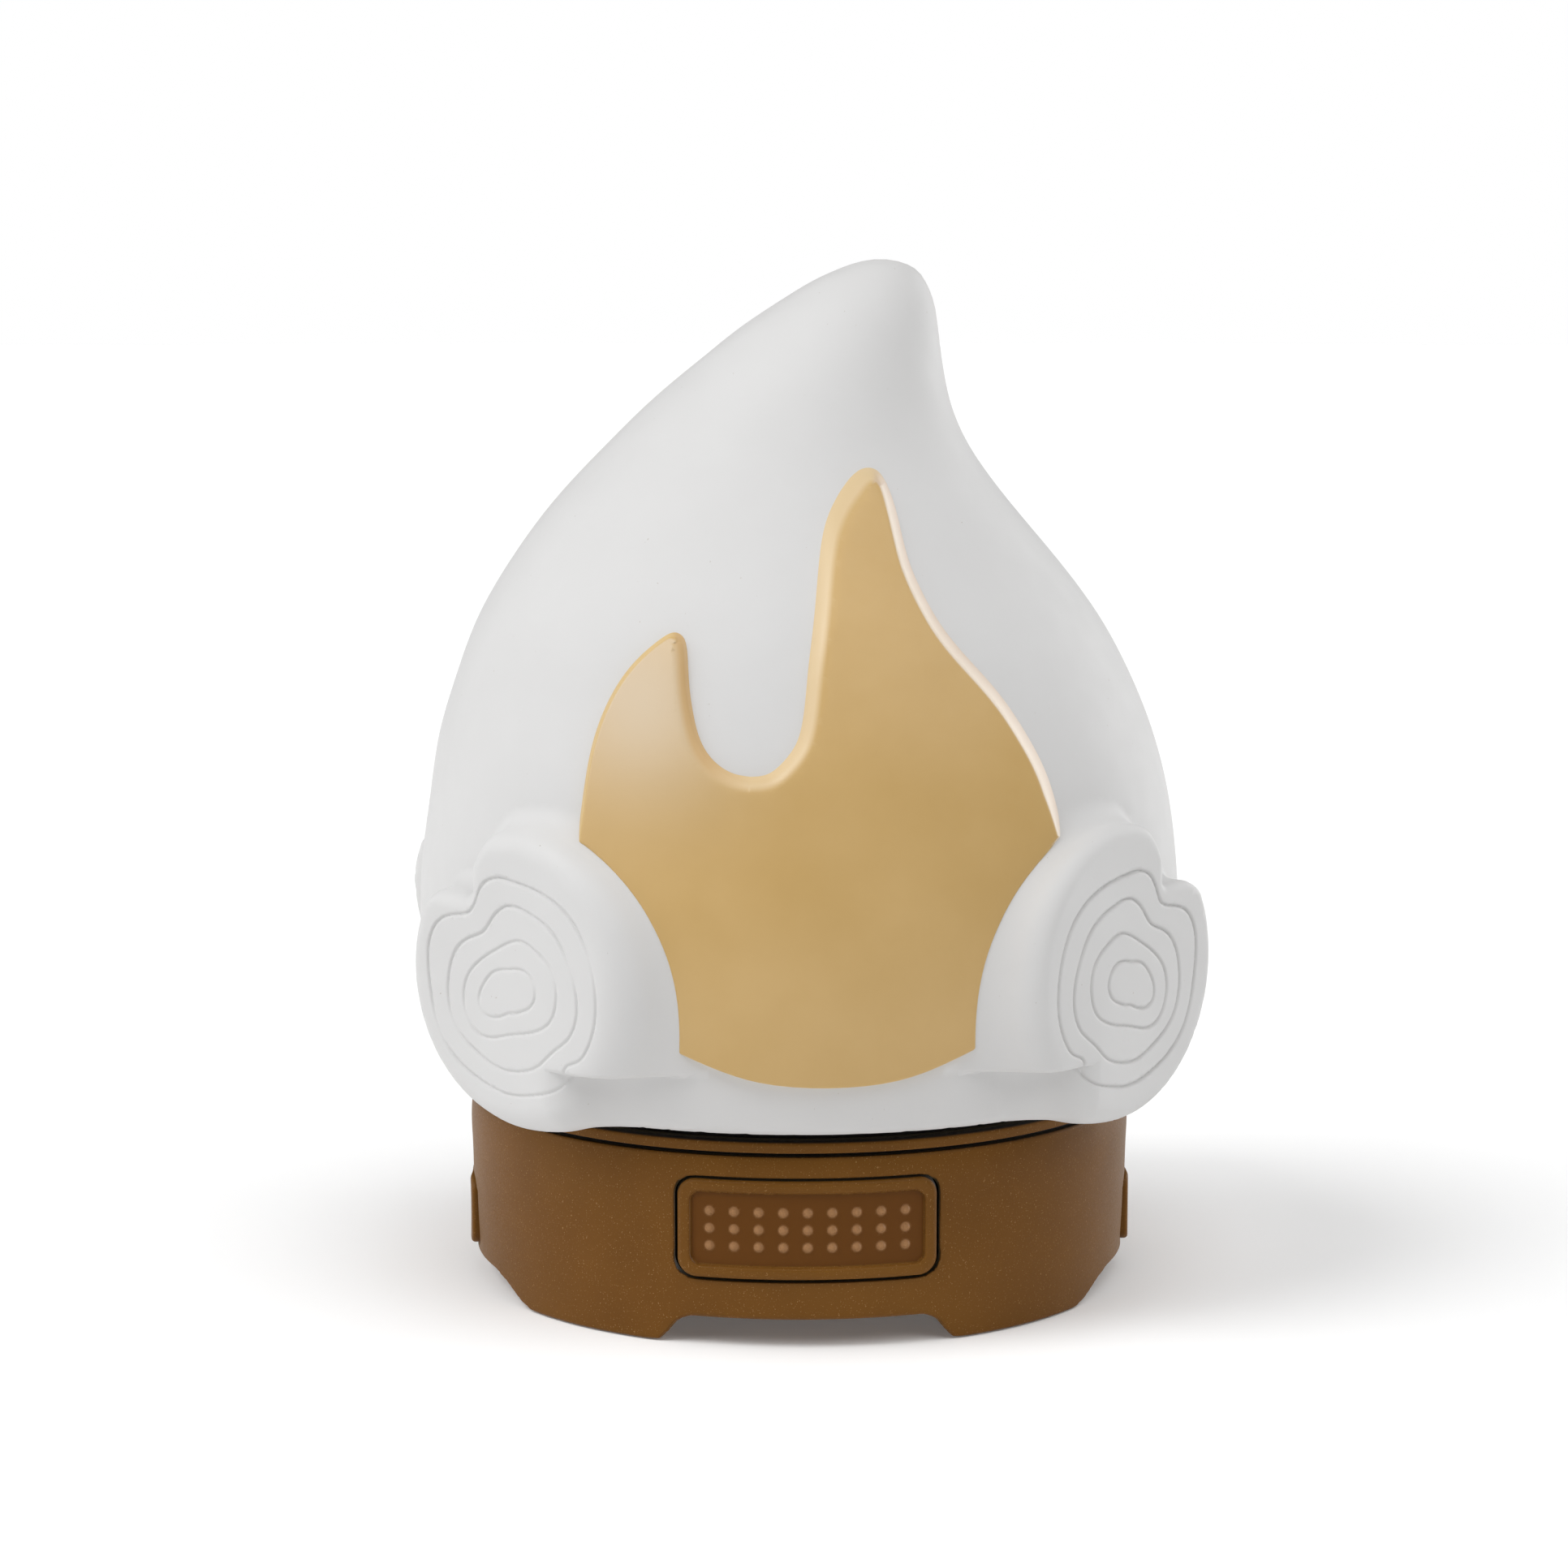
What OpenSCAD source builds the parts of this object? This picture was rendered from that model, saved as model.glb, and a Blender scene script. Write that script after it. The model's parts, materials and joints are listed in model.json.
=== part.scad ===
// Cool mist humidifier in the shape of a camp fire: a white ceramic cover (a flame standing on four
// crossed logs) lifts off a round plastic base that holds the water, the mist disc, the fan and the
// electronics. Millimetres. The origin is on the table under the middle of the base, +Z is up and the
// gold flame faces -Y.

/* [Base housing] */
// Diameter of the housing at its widest
base_d = 115; // [112:0.5:122]
// How much the housing tapers in towards the table, on the radius
base_taper = 1.5; // [0.5:0.1:3]
// Height of the parting line between housing and top ring
base_h = 32.3; // [31:0.1:38]
// Thickness of the housing wall
wall = 2.3; // [1.8:0.1:3]
// Gap between the housing's skirt and the table
skirt_gap = 0.4; // [0.2:0.1:1]
// Height of the four arches in the skirt
arch_h = 4.9; // [3:0.1:5.5]
// Half the width of the front and back arches at the table
arch_front_w = 24.5; // [15:0.5:28]
// Half the width of the two side arches at the table
arch_side_w = 30; // [15:0.5:32]
// Height of the visible seam between housing and top ring
seam = 0.4; // [0.2:0.1:1]

/* [Top ring] */
// Height of the ring's outer face
ring_h = 2.2; // [1.5:0.1:4]
// How far the ledge that carries the cover stands above that face
ledge_h = 1.6; // [1:0.1:3]
// How far the ledge is set in from the ring's outer face
ledge_in = 2.6; // [1.5:0.1:4]
// Width of the ring, from its outer face to the opening over the water
ring_w = 6.7; // [6.2:0.1:7.2]

/* [Ceramic cover] */
// Wall thickness of the ceramic
cover_wall = 4; // [3:0.5:5.5]
// Angle by which the cover is turned on its base
cover_turn = 2.8; // [-30:0.1:30]
// Clearance between the cover's foot and the ledge
rest_gap = 0.3; // [0.2:0.05:0.5]
// How far the cover's turned-in foot stops short of the ring's inner edge
foot_lap = 1; // [0.5:0.1:1.5]
// Thickness of the turned-in foot
foot_t = 4; // [3:0.5:6]
// Width of the mist outlet behind the tip
outlet_w = 10; // [7:0.5:12]
// Height of the mist outlet
outlet_h = 16; // [12:0.5:20]

/* [Logs] */
// Radius of each log end
log_r = 24.6; // [20:0.2:26]
// Distance from the cover's axis to the sawn face of a log
log_reach = 70.5; // [68:0.5:76]
// How much further the logs reach out at the back
log_back = 1.8; // [0:0.2:3]
// Angle of the logs from the front and from the back
log_angle = 45.5; // [40:0.5:50]
// Rounding between a log's sawn face and its bark
log_round = 4; // [2:0.5:6]
// Distance from a log's axis to the upright side of the step in its rim
step_side = 11; // [9:0.5:14]
// Distance from a log's axis to the level side of that step
step_level = 13.5; // [11:0.5:16]

/* [Flame relief] */
// How far the gold flame stands out of the cover
relief = 1.8; // [1:0.1:3]

/* [Buttons] */
// Width of the front button
front_w = 42.4; // [36:0.2:48]
// Height of the front button
front_h = 16.4; // [14:0.2:17]
// Height of the front button's centre above the table
front_z = 20.1; // [19.2:0.1:20.4]
// Width of each side button
side_w = 18.5; // [16:0.5:26]
// Height of each side button
side_h = 11.4; // [10:0.2:11.6]
// Height of a side button's centre above the table
side_z = 11.8; // [11.8:0.1:12.2]
// Gap between a button and the edge of its window
button_gap = 0.4; // [0.3:0.05:0.6]
// How far a button stands out of the wall
button_proud = 0.5; // [0.2:0.1:1]
// Travel of a button
travel = 0.8; // [0.5:0.1:1]
// Depth of the recessed panel in the front button
panel_depth = 0.8; // [0.4:0.1:1]
// Number of bumps in a row on the front button
bump_cols = 9; // [3:1:11]
// Number of rows of bumps
bump_rows = 3; // [1:1:3]
// Radius of a bump
bump_r = 0.75; // [0.5:0.05:1]

/* [Water tank] */
// Clearance between the tank's bowl and the top ring
bowl_gap = 1.4; // [1:0.1:3]
// Wall thickness of the tank
tank_wall = 2; // [1.5:0.1:2]
// Inner radius of the air chimney
chimney_r = 7; // [5:0.5:8]
// Height of the air chimney above the bowl's floor
chimney_h = 24; // [16:1:28]

/* [Mist disc] */
// Radius of the ultrasonic disc
disc_r = 10; // [8:0.5:11]
// Thickness of the ultrasonic disc
disc_t = 0.8; // [0.6:0.1:1]

/* [Inner lid] */
// Clearance between the inner lid and the top ring
lid_gap = 0.8; // [0.4:0.1:1.5]
// Height of the inner lid without its mist tube
lid_h = 26; // [20:1:32]
// Inner radius of the mist tube
tube_r = 11; // [8:0.5:13]
// Length of the mist tube above the lid
tube_h = 24; // [15:1:35]

/* [Fan] */
// Side of the square fan frame
fan_size = 25; // [22:1:26]
// Height of the fan frame
fan_h = 10; // [9:0.1:10]
// Thickness of the gasket between fan and tank
gasket_t = 0.7; // [0.5:0.1:1.5]
// Number of blades
blades = 7; // [5:1:9]

/* [Feet and inlet] */
// Radius of a rubber foot
foot_r = 5; // [3.5:0.1:5.5]
// Thickness of a rubber foot
foot_h = 1.6; // [1.2:0.1:2.4]
// Radius of the bore in the power inlet
inlet_r = 3.15; // [2.8:0.05:3.3]
// Depth of the bore in the power inlet
inlet_depth = 9.5; // [8:0.5:11]
// Radius of the pin in the power inlet
inlet_pin_r = 1.05; // [0.6:0.05:1.25]

/* [Hidden] */
$fn = 96;
cut = 0.5;         // overshoot of a cutting shape
touch = 0.05;      // radial play of a screw in its hole
slit = 0.3;        // clearance between pieces that only pass each other

// Housing
base_r = base_d / 2;
widest_z = 24;
housing_ri = base_r - wall;              // inner radius at the widest height
low_ri = base_r - base_taper - wall;     // inner radius at the skirt
plate_z = arch_h + 0.4;                  // underside of the bottom plate
plate_t = 2;
deck = plate_z + plate_t;                // top of the bottom plate, which carries everything inside
plate_r = low_ri - slit;
lip_z = base_h + seam;                   // inner lip on which the top ring stands
taper_z = 7;                             // inside, the wall leans out between these two heights
straight_z = front_z - front_h / 2 - 0.5;
shelf_t = 1.2;
seal_t = 0.5;
flange_t = 1.2;
shelf_ri = base_r - 6.5;
shelf_z = lip_z - flange_t - seal_t;     // top of the shelf that carries the tank
tank_z = lip_z - flange_t;               // underside of the tank's flange

// Top ring and cover seat
ring_ro = base_r - 0.4;
ring_ri = ring_ro - ring_w;
foot_ri = ring_ri + foot_lap;
shoulder_z = lip_z + ring_h;
seat_z = shoulder_z + ledge_h;
seat_ro = ring_ro - ledge_in;
rim_z = seat_z + rest_gap;               // lowest edge of the ceramic cover
log_z = rim_z + log_r - 1.1;             // logs hang a little below the rim
log_l = 26;                              // length of log that is left inside the flame body
step_round = 0.8;
foot_top = rim_z + foot_t;
outlet_z = 148;                          // widest height of the mist outlet

// Screws: [head radius, head height, shank radius]
case_screw = [2.4, 1.5, 1.25];
small_screw = [1.9, 1.1, 1.0];
case_screw_l = 10;
board_screw_l = 4;
fan_screw_l = 7;
disc_screw_l = 4.5;
led_screw_l = 2.8;
boss_r = 3.2;
boss_at = low_ri - case_screw[0] - slit; // the screw heads clear the skirt
boss_angles = [45, 135, 225, 315];
pad_at = boss_at - 9;                    // distance from the axis to a rubber foot

// Switch boards stand upright behind the buttons
board_t = 1.2;
flange_wall = 0.9;                       // thickness of a button's flange
flange_side = 1.2;                       // how far the flange reaches past the window
front_back = housing_ri - 0.2 - flange_wall;   // inner face of the front button's flange
side_back = low_ri - 0.2 - flange_wall;        // the same for a side button, where the wall tapers in
switch_body = [6, 2, 6];
plunger_l = 0.4;
press_gap = 0.1;                         // left between button and plunger at full travel
front_face = front_back - travel - press_gap - plunger_l - switch_body[1];
side_face = side_back - travel - press_gap - plunger_l - switch_body[1];
bracket_t = 1.4;
front_board_w = 22;
side_board_w = 14;
side_switch_z = side_z + 0.4;
front_free = front_face - board_t - bracket_t; // what is inside stays within these two distances
side_free = side_face - board_t - bracket_t;

// Fan, at the left, under the tank's air chimney
fan_x = side_free - 1.2 - fan_size / 2;
fan_edge = fan_size / 2 - fan_x;         // its side that faces the mist disc
duct_r = fan_size / 2 - 0.9;
fan_top = deck + fan_h;
blade_r = duct_r - 0.6;
hub_r = 5.4;
hub_wall = 0.8;
shaft_r = 1;
shaft_fit = 0.05;
tube_wall = 1;
fan_screw_at = fan_size / 2 - 2.2;
fan_floor = 1.2;

// Tank
tank_under = fan_top + gasket_t;         // underside of the tank's floor
bowl_floor = tank_under + tank_wall;
bowl_ro = ring_ri - bowl_gap;
bowl_r = bowl_ro - tank_wall;
tank_flange_r = shelf_ri + 2.4;
boss_top = bowl_floor - 1;

// Mist disc
cup_r = disc_r + 7;
disc_x = fan_edge + 3.5 + cup_r;         // the disc stands clear of the fan
well_r = disc_r - 1.5;
disc_z = tank_under - 3.6;
seal_ro = disc_r + 1.2;
seal_z = disc_z - 1;
seal_h = disc_t + 2;
retainer_t = 1.5;
retainer_r = cup_r - 0.5;
retainer_screw_at = disc_r + 4;
retainer_angles = [30, 150, 270];

// Main board, round the mist disc
board_z = deck + 3;
board_top = board_z + board_t;
board_r = side_free - 0.7;
board_ri = cup_r + 1.5;
board_left = fan_edge + 4.5;
board_front = 18.2 - front_free;
board_posts = [for (a = [-39, 27, 100]) (board_r - 6) * [cos(a), sin(a)]];
part_at = (disc_x + board_ri + board_r) / 2; // distance from the axis to the parts on the board
lead_r = 0.6;

// Lights under the tank, round the mist disc
led_r = cup_r + 10;
led_half_w = 5;
led_t = 0.8;
led_angles = [-50, -17, 17, 50];
led_post_angles = [-33, 33];
led_board_top = tank_under - led_t;

// Power inlet, at the back
inlet_body = [9, 12.5, 9.4];
inlet_z = deck + 5.4;
inlet_nose_r = 3.9;
inlet_face = base_r - 0.9;
inlet_back = low_ri - 0.5 - inlet_body[1];

// Inner lid
lid_r = ring_ri - lid_gap;
lid_z = lip_z + 0.3;
lid_wall = 1.8;

// Outline of the flame body from the rim to the tip: [height, lean to the right, radius]
BODY = [
    [rim_z, 0, 61.8], [45, 0, 64.2], [55, 0, 65.7], [65, 0, 66.2], [75, 0, 65.7], [85, 0, 64.3],
    [95, -0.5, 62.1], [105, -1, 58.6], [115, -1.8, 53.9], [125, -2.6, 47.3], [135, -3, 39.5],
    [145, -1.8, 31.3], [153, 0.6, 25.4], [160, 4.1, 20.4], [165.5, 7.3, 16.5], [170, 10.3, 12.6],
    [173.2, 12.3, 9.1], [175.2, 13.6, 5.8], [176.2, 14, 3], [176.5, 14, 0.3]
];
// Gold flame seen from the front, from its left corner over the two tongues to its right corner
TONGUES = [
    [-39.5, 83.4], [-38.6, 91.5], [-37, 99.5], [-33.6, 106.8], [-30, 112.2], [-26.3, 115.6],
    [-23.2, 117], [-21.7, 114.6], [-21.3, 107.3], [-19.2, 99.2], [-16, 96], [-11.5, 94.7],
    [-7, 97.5], [-3.8, 102], [-1.7, 115], [-0.1, 127], [3.2, 137], [7.6, 142], [9.7, 142.4],
    [11, 140.5], [13.5, 129.5], [16.3, 121.3], [19.2, 116.8], [22.9, 112.2], [28.2, 107],
    [34.4, 98.2], [37, 91.8], [39.5, 83.4]
];
// Lower edge of the gold flame, from right to left
FLAME_FOOT = [
    [24.1, 50.7], [18.5, 48.3], [11.2, 46.1], [0, 45.2], [-11.2, 46.1], [-18.5, 48.3], [-24.1, 50.7]
];

white = [0.93, 0.93, 0.92];
gold = [0.80, 0.66, 0.42];
brown = [0.42, 0.28, 0.15];
milky = [0.90, 0.91, 0.90];
grey = [0.35, 0.35, 0.36];
steel = [0.75, 0.75, 0.77];
brass = [0.80, 0.68, 0.35];
green = [0.10, 0.38, 0.22];
black = [0.10, 0.10, 0.10];

// ---------------------------------------------------------------- shared shapes

// Point on the smooth curve through a list of points, at a fraction of one span
function spline_at(p, i, f) =
    let (n = len(p) - 1, a = p[max(i - 1, 0)], b = p[i], c = p[min(i + 1, n)], d = p[min(i + 2, n)])
    0.5 * (2 * b + (c - a) * f + (2 * a - 5 * b + 4 * c - d) * f * f + (3 * b - a - 3 * c + d) * f * f * f);
function spline(p, steps) = concat(
    [for (i = [0 : len(p) - 2]) for (s = [0 : steps - 1]) spline_at(p, i, s / steps)],
    [p[len(p) - 1]]
);

// Closed skin over rings that all have the same number of points
module skin(rings) {
    m = len(rings[0]);
    n = len(rings);
    polyhedron(
        points = [for (ring = rings) for (p = ring) p],
        faces = concat(
            [[for (k = [0 : m - 1]) k]],
            [for (j = [0 : n - 2]) for (k = [0 : m - 1]) let (a = j * m + k, b = j * m + (k + 1) % m)
                each [[a, a + m, b + m], [a, b + m, b]]],
            [[for (k = [m - 1 : -1 : 0]) (n - 1) * m + k]]
        )
    );
}

function circle_ring(at, sides) =
    [for (k = [0 : sides - 1]) let (a = 360 * k / sides) [at[1] + at[2] * cos(a), at[2] * sin(a), at[0]]];

// Solid of the flame body, grown outwards by grow (negative for the hollow), above a given height
module flame_body(grow, from_z, sides, steps) {
    path = spline(BODY, steps);
    n = len(path) - 1;
    moved = [for (i = [0 : n]) let (
        t = path[min(i + 1, n)] - path[max(i - 1, 0)],
        l = norm([t[0], t[2]])
    ) [path[i][0] - grow * t[2] / l, path[i][1], path[i][2] + grow * t[0] / l]];
    kept = [for (q = moved) if (q[0] > from_z + 1 && q[2] > 0.2) q];
    first = [from_z, kept[0][1], kept[0][2] - (kept[0][0] - from_z) * 0.22];
    skin([for (q = concat([first], kept)) circle_ring(q, sides)]);
}

// Bar with rounded corners seen along Y, from y = -y0 to y = -y1, centred on a height
module front_bar(w, h, r, y0, y1, z) {
    translate([0, -y1, z]) rotate([-90, 0, 0]) linear_extrude(y1 - y0) {
        square([w - 2 * r, h], center = true);
        square([w, h - 2 * r], center = true);
        for (x = [-1, 1]) for (y = [-1, 1])
            translate([x * (w / 2 - r), y * (h / 2 - r)]) circle(r, $fn = 32);
    }
}

// Tube between two radii
module tube(ri, ro, z0, z1) {
    translate([0, 0, z0]) difference() {
        cylinder(r = ro, h = z1 - z0);
        translate([0, 0, -cut]) cylinder(r = ri, h = z1 - z0 + 2 * cut);
    }
}

// Screw that points up, with its head's top face at height z under the piece it holds
module screw_up(kind, z, length) {
    translate([0, 0, z - kind[1]]) difference() {
        cylinder(r = kind[0], h = kind[1], $fn = 32);
        for (a = [0, 90]) rotate([0, 0, a])
            cube([kind[0] * 1.3, 0.5, kind[1]], center = true);
    }
    translate([0, 0, z]) cylinder(r = kind[2], h = length, $fn = 24);
}

// Screw that points down, with the underside of its head at height z
module screw_down(kind, z, length) {
    translate([0, 0, z]) mirror([0, 0, 1]) screw_up(kind, 0, length);
}

// Thin lead swept along points chosen by hand, with square ends
module lead(points, r) {
    path = spline(points, 4);
    n = len(path) - 1;
    last = len(points) - 1;
    skin([for (i = [0 : n]) let (
        t = i == 0 ? points[1] - points[0]
            : i == n ? points[last] - points[last - 1]
            : path[i + 1] - path[i - 1],
        d = t / norm(t),
        side = cross(d, abs(d[2]) < 0.9 ? [0, 0, 1] : [1, 0, 0]),
        u = side / norm(side),
        v = cross(d, u)
    ) [for (k = [0 : 7]) path[i] + r * (cos(45 * k) * u + sin(45 * k) * v)]]);
}

// ---------------------------------------------------------------- ceramic cover

// One log end, pointing to -Y, with a rounded edge and a step in its rim at the outer top and, half a
// turn round, at the inner bottom
module log_end(grow) {
    r = log_r + grow;
    translate([0, -log_reach, log_z]) rotate([-90, 0, 0]) difference() {
        hull() rotate_extrude($fn = 40) polygon(concat(
            [[0, 0]],
            [for (a = [0 : 30 : 90]) [r - log_round + log_round * sin(a), log_round * (1 - cos(a))]],
            [[r, log_l], [0, log_l]]
        ));
        for (a = [0, 180]) rotate([0, 0, a]) hull()
            for (x = [step_side + step_round, r]) for (y = [-step_level - step_round, -r])
                translate([x, y, -cut]) cylinder(r = step_round, h = log_l + 2 * cut, $fn = 16);
    }
}

module log_ends(grow) {
    for (back = [0, 1]) rotate([0, 0, 180 * back]) for (side = [0, 1]) mirror([side, 0, 0])
        rotate([0, 0, log_angle]) translate([0, -log_back * back, 0]) log_end(grow);
}

module cover() {
    color(white) rotate([0, 0, cover_turn]) difference() {
        union() {
            flame_body(0, rim_z, 64, 2);
            log_ends(0);
        }
        // the logs stay clear of the ring below the rim
        translate([0, 0, -cut]) cylinder(r = base_r + 2, h = rim_z + cut);
        // opening in the foot
        translate([0, 0, rim_z - cut]) cylinder(r = foot_ri, h = foot_t + 2 * cut);
        flame_body(-cover_wall, foot_top, 40, 1);
        outlet();
    }
}

// Drop-shaped mist outlet through the back of the tip
module outlet() {
    low_r = outlet_w / 2;
    high_r = outlet_w / 4;
    translate([0, 10, outlet_z]) rotate([-90, 0, 0]) linear_extrude(30) hull() {
        circle(low_r, $fn = 32);
        translate([0, -(outlet_h - low_r - high_r)]) circle(high_r, $fn = 24);
    }
}

// Gold flame, face to face with the cover
module flame_panel() {
    outline = concat(spline(TONGUES, 2), FLAME_FOOT);
    color(gold) rotate([0, 0, cover_turn]) difference() {
        intersection() {
            flame_body(relief, foot_top, 64, 2);
            rotate([90, 0, 0]) linear_extrude(base_d) polygon(outline);
        }
        flame_body(0, rim_z, 64, 2);
        log_ends(1.6);
    }
}

// ---------------------------------------------------------------- lid, ring and tank

module inner_lid() {
    skirt_z = lid_z + 8;
    top_z = lid_z + lid_h;
    color(milky) rotate_extrude() polygon(concat(
        [[lid_r, lid_z], [lid_r, skirt_z]],
        [for (a = [10 : 10 : 70]) [lid_r - 30 * (1 - cos(a)), skirt_z + (lid_h - 8) * sin(a)]],
        [[tube_r + lid_wall + 2, top_z], [tube_r + lid_wall, top_z + 2]],
        [[tube_r + lid_wall, top_z + tube_h],
         [tube_r, top_z + tube_h], [tube_r, top_z - lid_wall]],
        [for (a = [70 : -10 : 10])
            [lid_r - lid_wall - 30 * (1 - cos(a)), skirt_z + (lid_h - 8 - lid_wall) * sin(a)]],
        [[lid_r - lid_wall, skirt_z], [lid_r - lid_wall, lid_z]]
    ));
}

module top_ring() {
    edge = 0.9;
    color(brown) rotate_extrude() polygon(concat(
        [[ring_ri, lip_z], [ring_ro, lip_z]],
        [for (a = [0 : 30 : 90]) [ring_ro - edge * (1 - cos(a)), shoulder_z - edge * (1 - sin(a))]],
        [[seat_ro, shoulder_z], [seat_ro, seat_z], [ring_ri, seat_z]]
    ));
}

module water_tank() {
    color(milky) difference() {
        union() {
            rotate_extrude() polygon([
                [0, tank_under], [bowl_ro - 5, tank_under], [bowl_ro - 1.5, tank_under + 1.5],
                [bowl_ro, tank_under + 5], [bowl_ro, tank_z], [tank_flange_r, tank_z],
                [tank_flange_r, lip_z], [bowl_r, lip_z], [bowl_r, bowl_floor + 4],
                [bowl_r - 1.3, bowl_floor + 1.3], [bowl_r - 4, bowl_floor], [0, bowl_floor]
            ]);
            translate([disc_x, 0, 0]) cylinder_between(cup_r, seal_z, tank_under);
            translate([-fan_x, 0, 0])
                cylinder_between(chimney_r + 1.6, bowl_floor - 1, bowl_floor + chimney_h);
            at_disc(led_post_angles, led_r) cylinder_between(2.2, led_board_top, tank_under + 1);
        }
        translate([disc_x, 0, 0]) {
            // well above the disc, flared at the top
            cylinder_between(well_r, seal_z - cut, bowl_floor + cut);
            translate([0, 0, bowl_floor - 1.5]) cylinder(r1 = well_r, r2 = well_r + 4, h = 1.5 + touch);
            cylinder_between(seal_ro, seal_z - cut, seal_z + seal_h);
        }
        translate([-fan_x, 0, 0])
            cylinder_between(chimney_r, tank_under - cut, bowl_floor + chimney_h + cut);
        at_disc(retainer_angles, retainer_screw_at)
            cylinder_between(small_screw[2] + touch, seal_z - cut, seal_z + 3.5, 24);
        at_disc(led_post_angles, led_r)
            cylinder_between(small_screw[2] + touch, led_board_top - cut, tank_under + 1.2, 24);
    }
}

// Places its child round the mist disc's axis
module at_disc(angles, distance) {
    translate([disc_x, 0, 0]) for (a = angles) rotate([0, 0, a]) translate([distance, 0, 0]) children();
}

module cylinder_between(r, z0, z1, sides = 64) {
    translate([0, 0, z0]) cylinder(r = r, h = z1 - z0, $fn = sides);
}

module tank_seal() {
    color(grey) tube(shelf_ri + 0.2, tank_flange_r - 0.2, shelf_z, tank_z);
}

// ---------------------------------------------------------------- housing

// Window for a button that is pressed from -Y
module window(w, h, r, z) {
    front_bar(w + 2 * button_gap, h + 2 * button_gap, r + button_gap, base_r - 8, base_r + 4, z);
}

module base_shell() {
    low_r = base_r - base_taper;
    color(brown) difference() {
        union() {
            rotate_extrude() polygon([
                [low_ri, skirt_gap], [low_r - 0.6, skirt_gap], [low_r, skirt_gap + 0.6],
                [base_r - 0.9, 7], [base_r - 0.3, 14], [base_r, widest_z], [base_r - 0.3, base_h - 0.6],
                [base_r - 0.6, base_h], [base_r - 1.3, base_h], [base_r - 1.3, lip_z], [housing_ri, lip_z],
                [housing_ri, shelf_z], [shelf_ri, shelf_z], [shelf_ri, shelf_z - shelf_t],
                [housing_ri, shelf_z - shelf_t], [housing_ri, straight_z], [low_ri, taper_z]
            ]);
            for (a = boss_angles) rotate([0, 0, a]) {
                translate([boss_at, 0, 0]) cylinder_between(boss_r, deck, boss_top, 32);
                translate([boss_at, -1.2, deck]) cube([housing_ri + 0.5 - boss_at, 2.4, boss_top - deck]);
            }
        }
        for (a = boss_angles) rotate([0, 0, a]) translate([boss_at, 0, 0])
            cylinder_between(case_screw[2] + touch, deck - cut, deck + case_screw_l, 24);
        arch(arch_front_w);
        rotate([0, 0, 90]) arch(arch_side_w);
        window(front_w, front_h, 3, front_z);
        for (a = [-90, 90]) rotate([0, 0, a]) window(side_w, side_h, 2.5, side_z);
        // hole for the power inlet's nose
        translate([0, base_r - 8, inlet_z]) rotate([-90, 0, 0]) cylinder(r = inlet_nose_r + 0.2, h = 12);
    }
}

// Arch through the skirt, front and back
module arch(half_w) {
    slope = arch_h;
    translate([0, base_r + 5, 0]) rotate([90, 0, 0]) linear_extrude(2 * base_r + 10) polygon([
        [-half_w - 1, -1], [half_w + 1, -1], [half_w, skirt_gap], [half_w - slope + 0.8, arch_h - 0.5],
        [half_w - slope - 0.6, arch_h], [-half_w + slope + 0.6, arch_h],
        [-half_w + slope - 0.8, arch_h - 0.5], [-half_w, skirt_gap]
    ]);
}

module bottom_plate() {
    color(brown) difference() {
        union() {
            cylinder_between(plate_r, plate_z, deck, 96);
            for (a = boss_angles) rotate([0, 0, a]) translate([pad_at, 0, 0])
                cylinder_between(foot_r + 1, foot_h / 2, plate_z + 0.1, 48);
            for (p = board_posts) translate([p[0], p[1], 0]) cylinder_between(2.6, deck - 0.1, board_z, 32);
            switch_bracket(front_face, front_board_w - 8, bowl_floor);
            for (a = [-90, 90]) rotate([0, 0, a])
                switch_bracket(side_face, side_board_w - 6, tank_under - 1);
        }
        // room behind the side buttons, which reach lower than the plate
        for (a = [-90, 90]) rotate([0, 0, a]) intersection() {
            tube(side_back - travel - slit, base_r, plate_z - cut, deck + cut);
            front_bar(side_w + 2 * (button_gap + flange_side + slit), 12, 1, 0, base_r + 2, plate_z);
        }
        for (a = boss_angles) rotate([0, 0, a]) {
            translate([boss_at, 0, 0]) cylinder_between(case_screw[2] + 0.2, plate_z - cut, deck + cut, 24);
            translate([pad_at, 0, 0]) cylinder_between(foot_r + touch, -cut, foot_h, 48);
        }
        for (p = board_posts) translate([p[0], p[1], 0])
            cylinder_between(small_screw[2] + touch, deck - 1, board_z + cut, 24);
        // air intake under the fan
        for (i = [-3 : 3]) let (half = sqrt(duct_r * duct_r - 9 * i * i)) translate([-fan_x, 3 * i, 0])
            translate([0, 0, plate_z]) cube([2 * half, 1.6, 3 * plate_t], center = true);
        for (s = [-1, 1]) translate([-fan_x + s * fan_screw_at, s * fan_screw_at, 0])
            cylinder_between(small_screw[2] + touch, plate_z - cut, deck + cut, 24);
    }
}

// Upright rib that carries a switch board
module switch_bracket(face, w, top) {
    translate([-w / 2, -face + board_t, deck - 0.1]) cube([w, bracket_t, top - deck]);
}

module rubber_feet() {
    color(black) for (a = boss_angles) rotate([0, 0, a]) translate([pad_at, 0, 0]) rotate_extrude($fn = 48)
        polygon([[0, 0], [foot_r - 0.4, 0], [foot_r, 0.4], [foot_r, foot_h], [0, foot_h]]);
}

module bottom_screws() {
    color(steel) for (a = boss_angles) rotate([0, 0, a]) translate([boss_at, 0, 0])
        screw_up(case_screw, plate_z, case_screw_l);
}

// ---------------------------------------------------------------- buttons and switches

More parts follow.
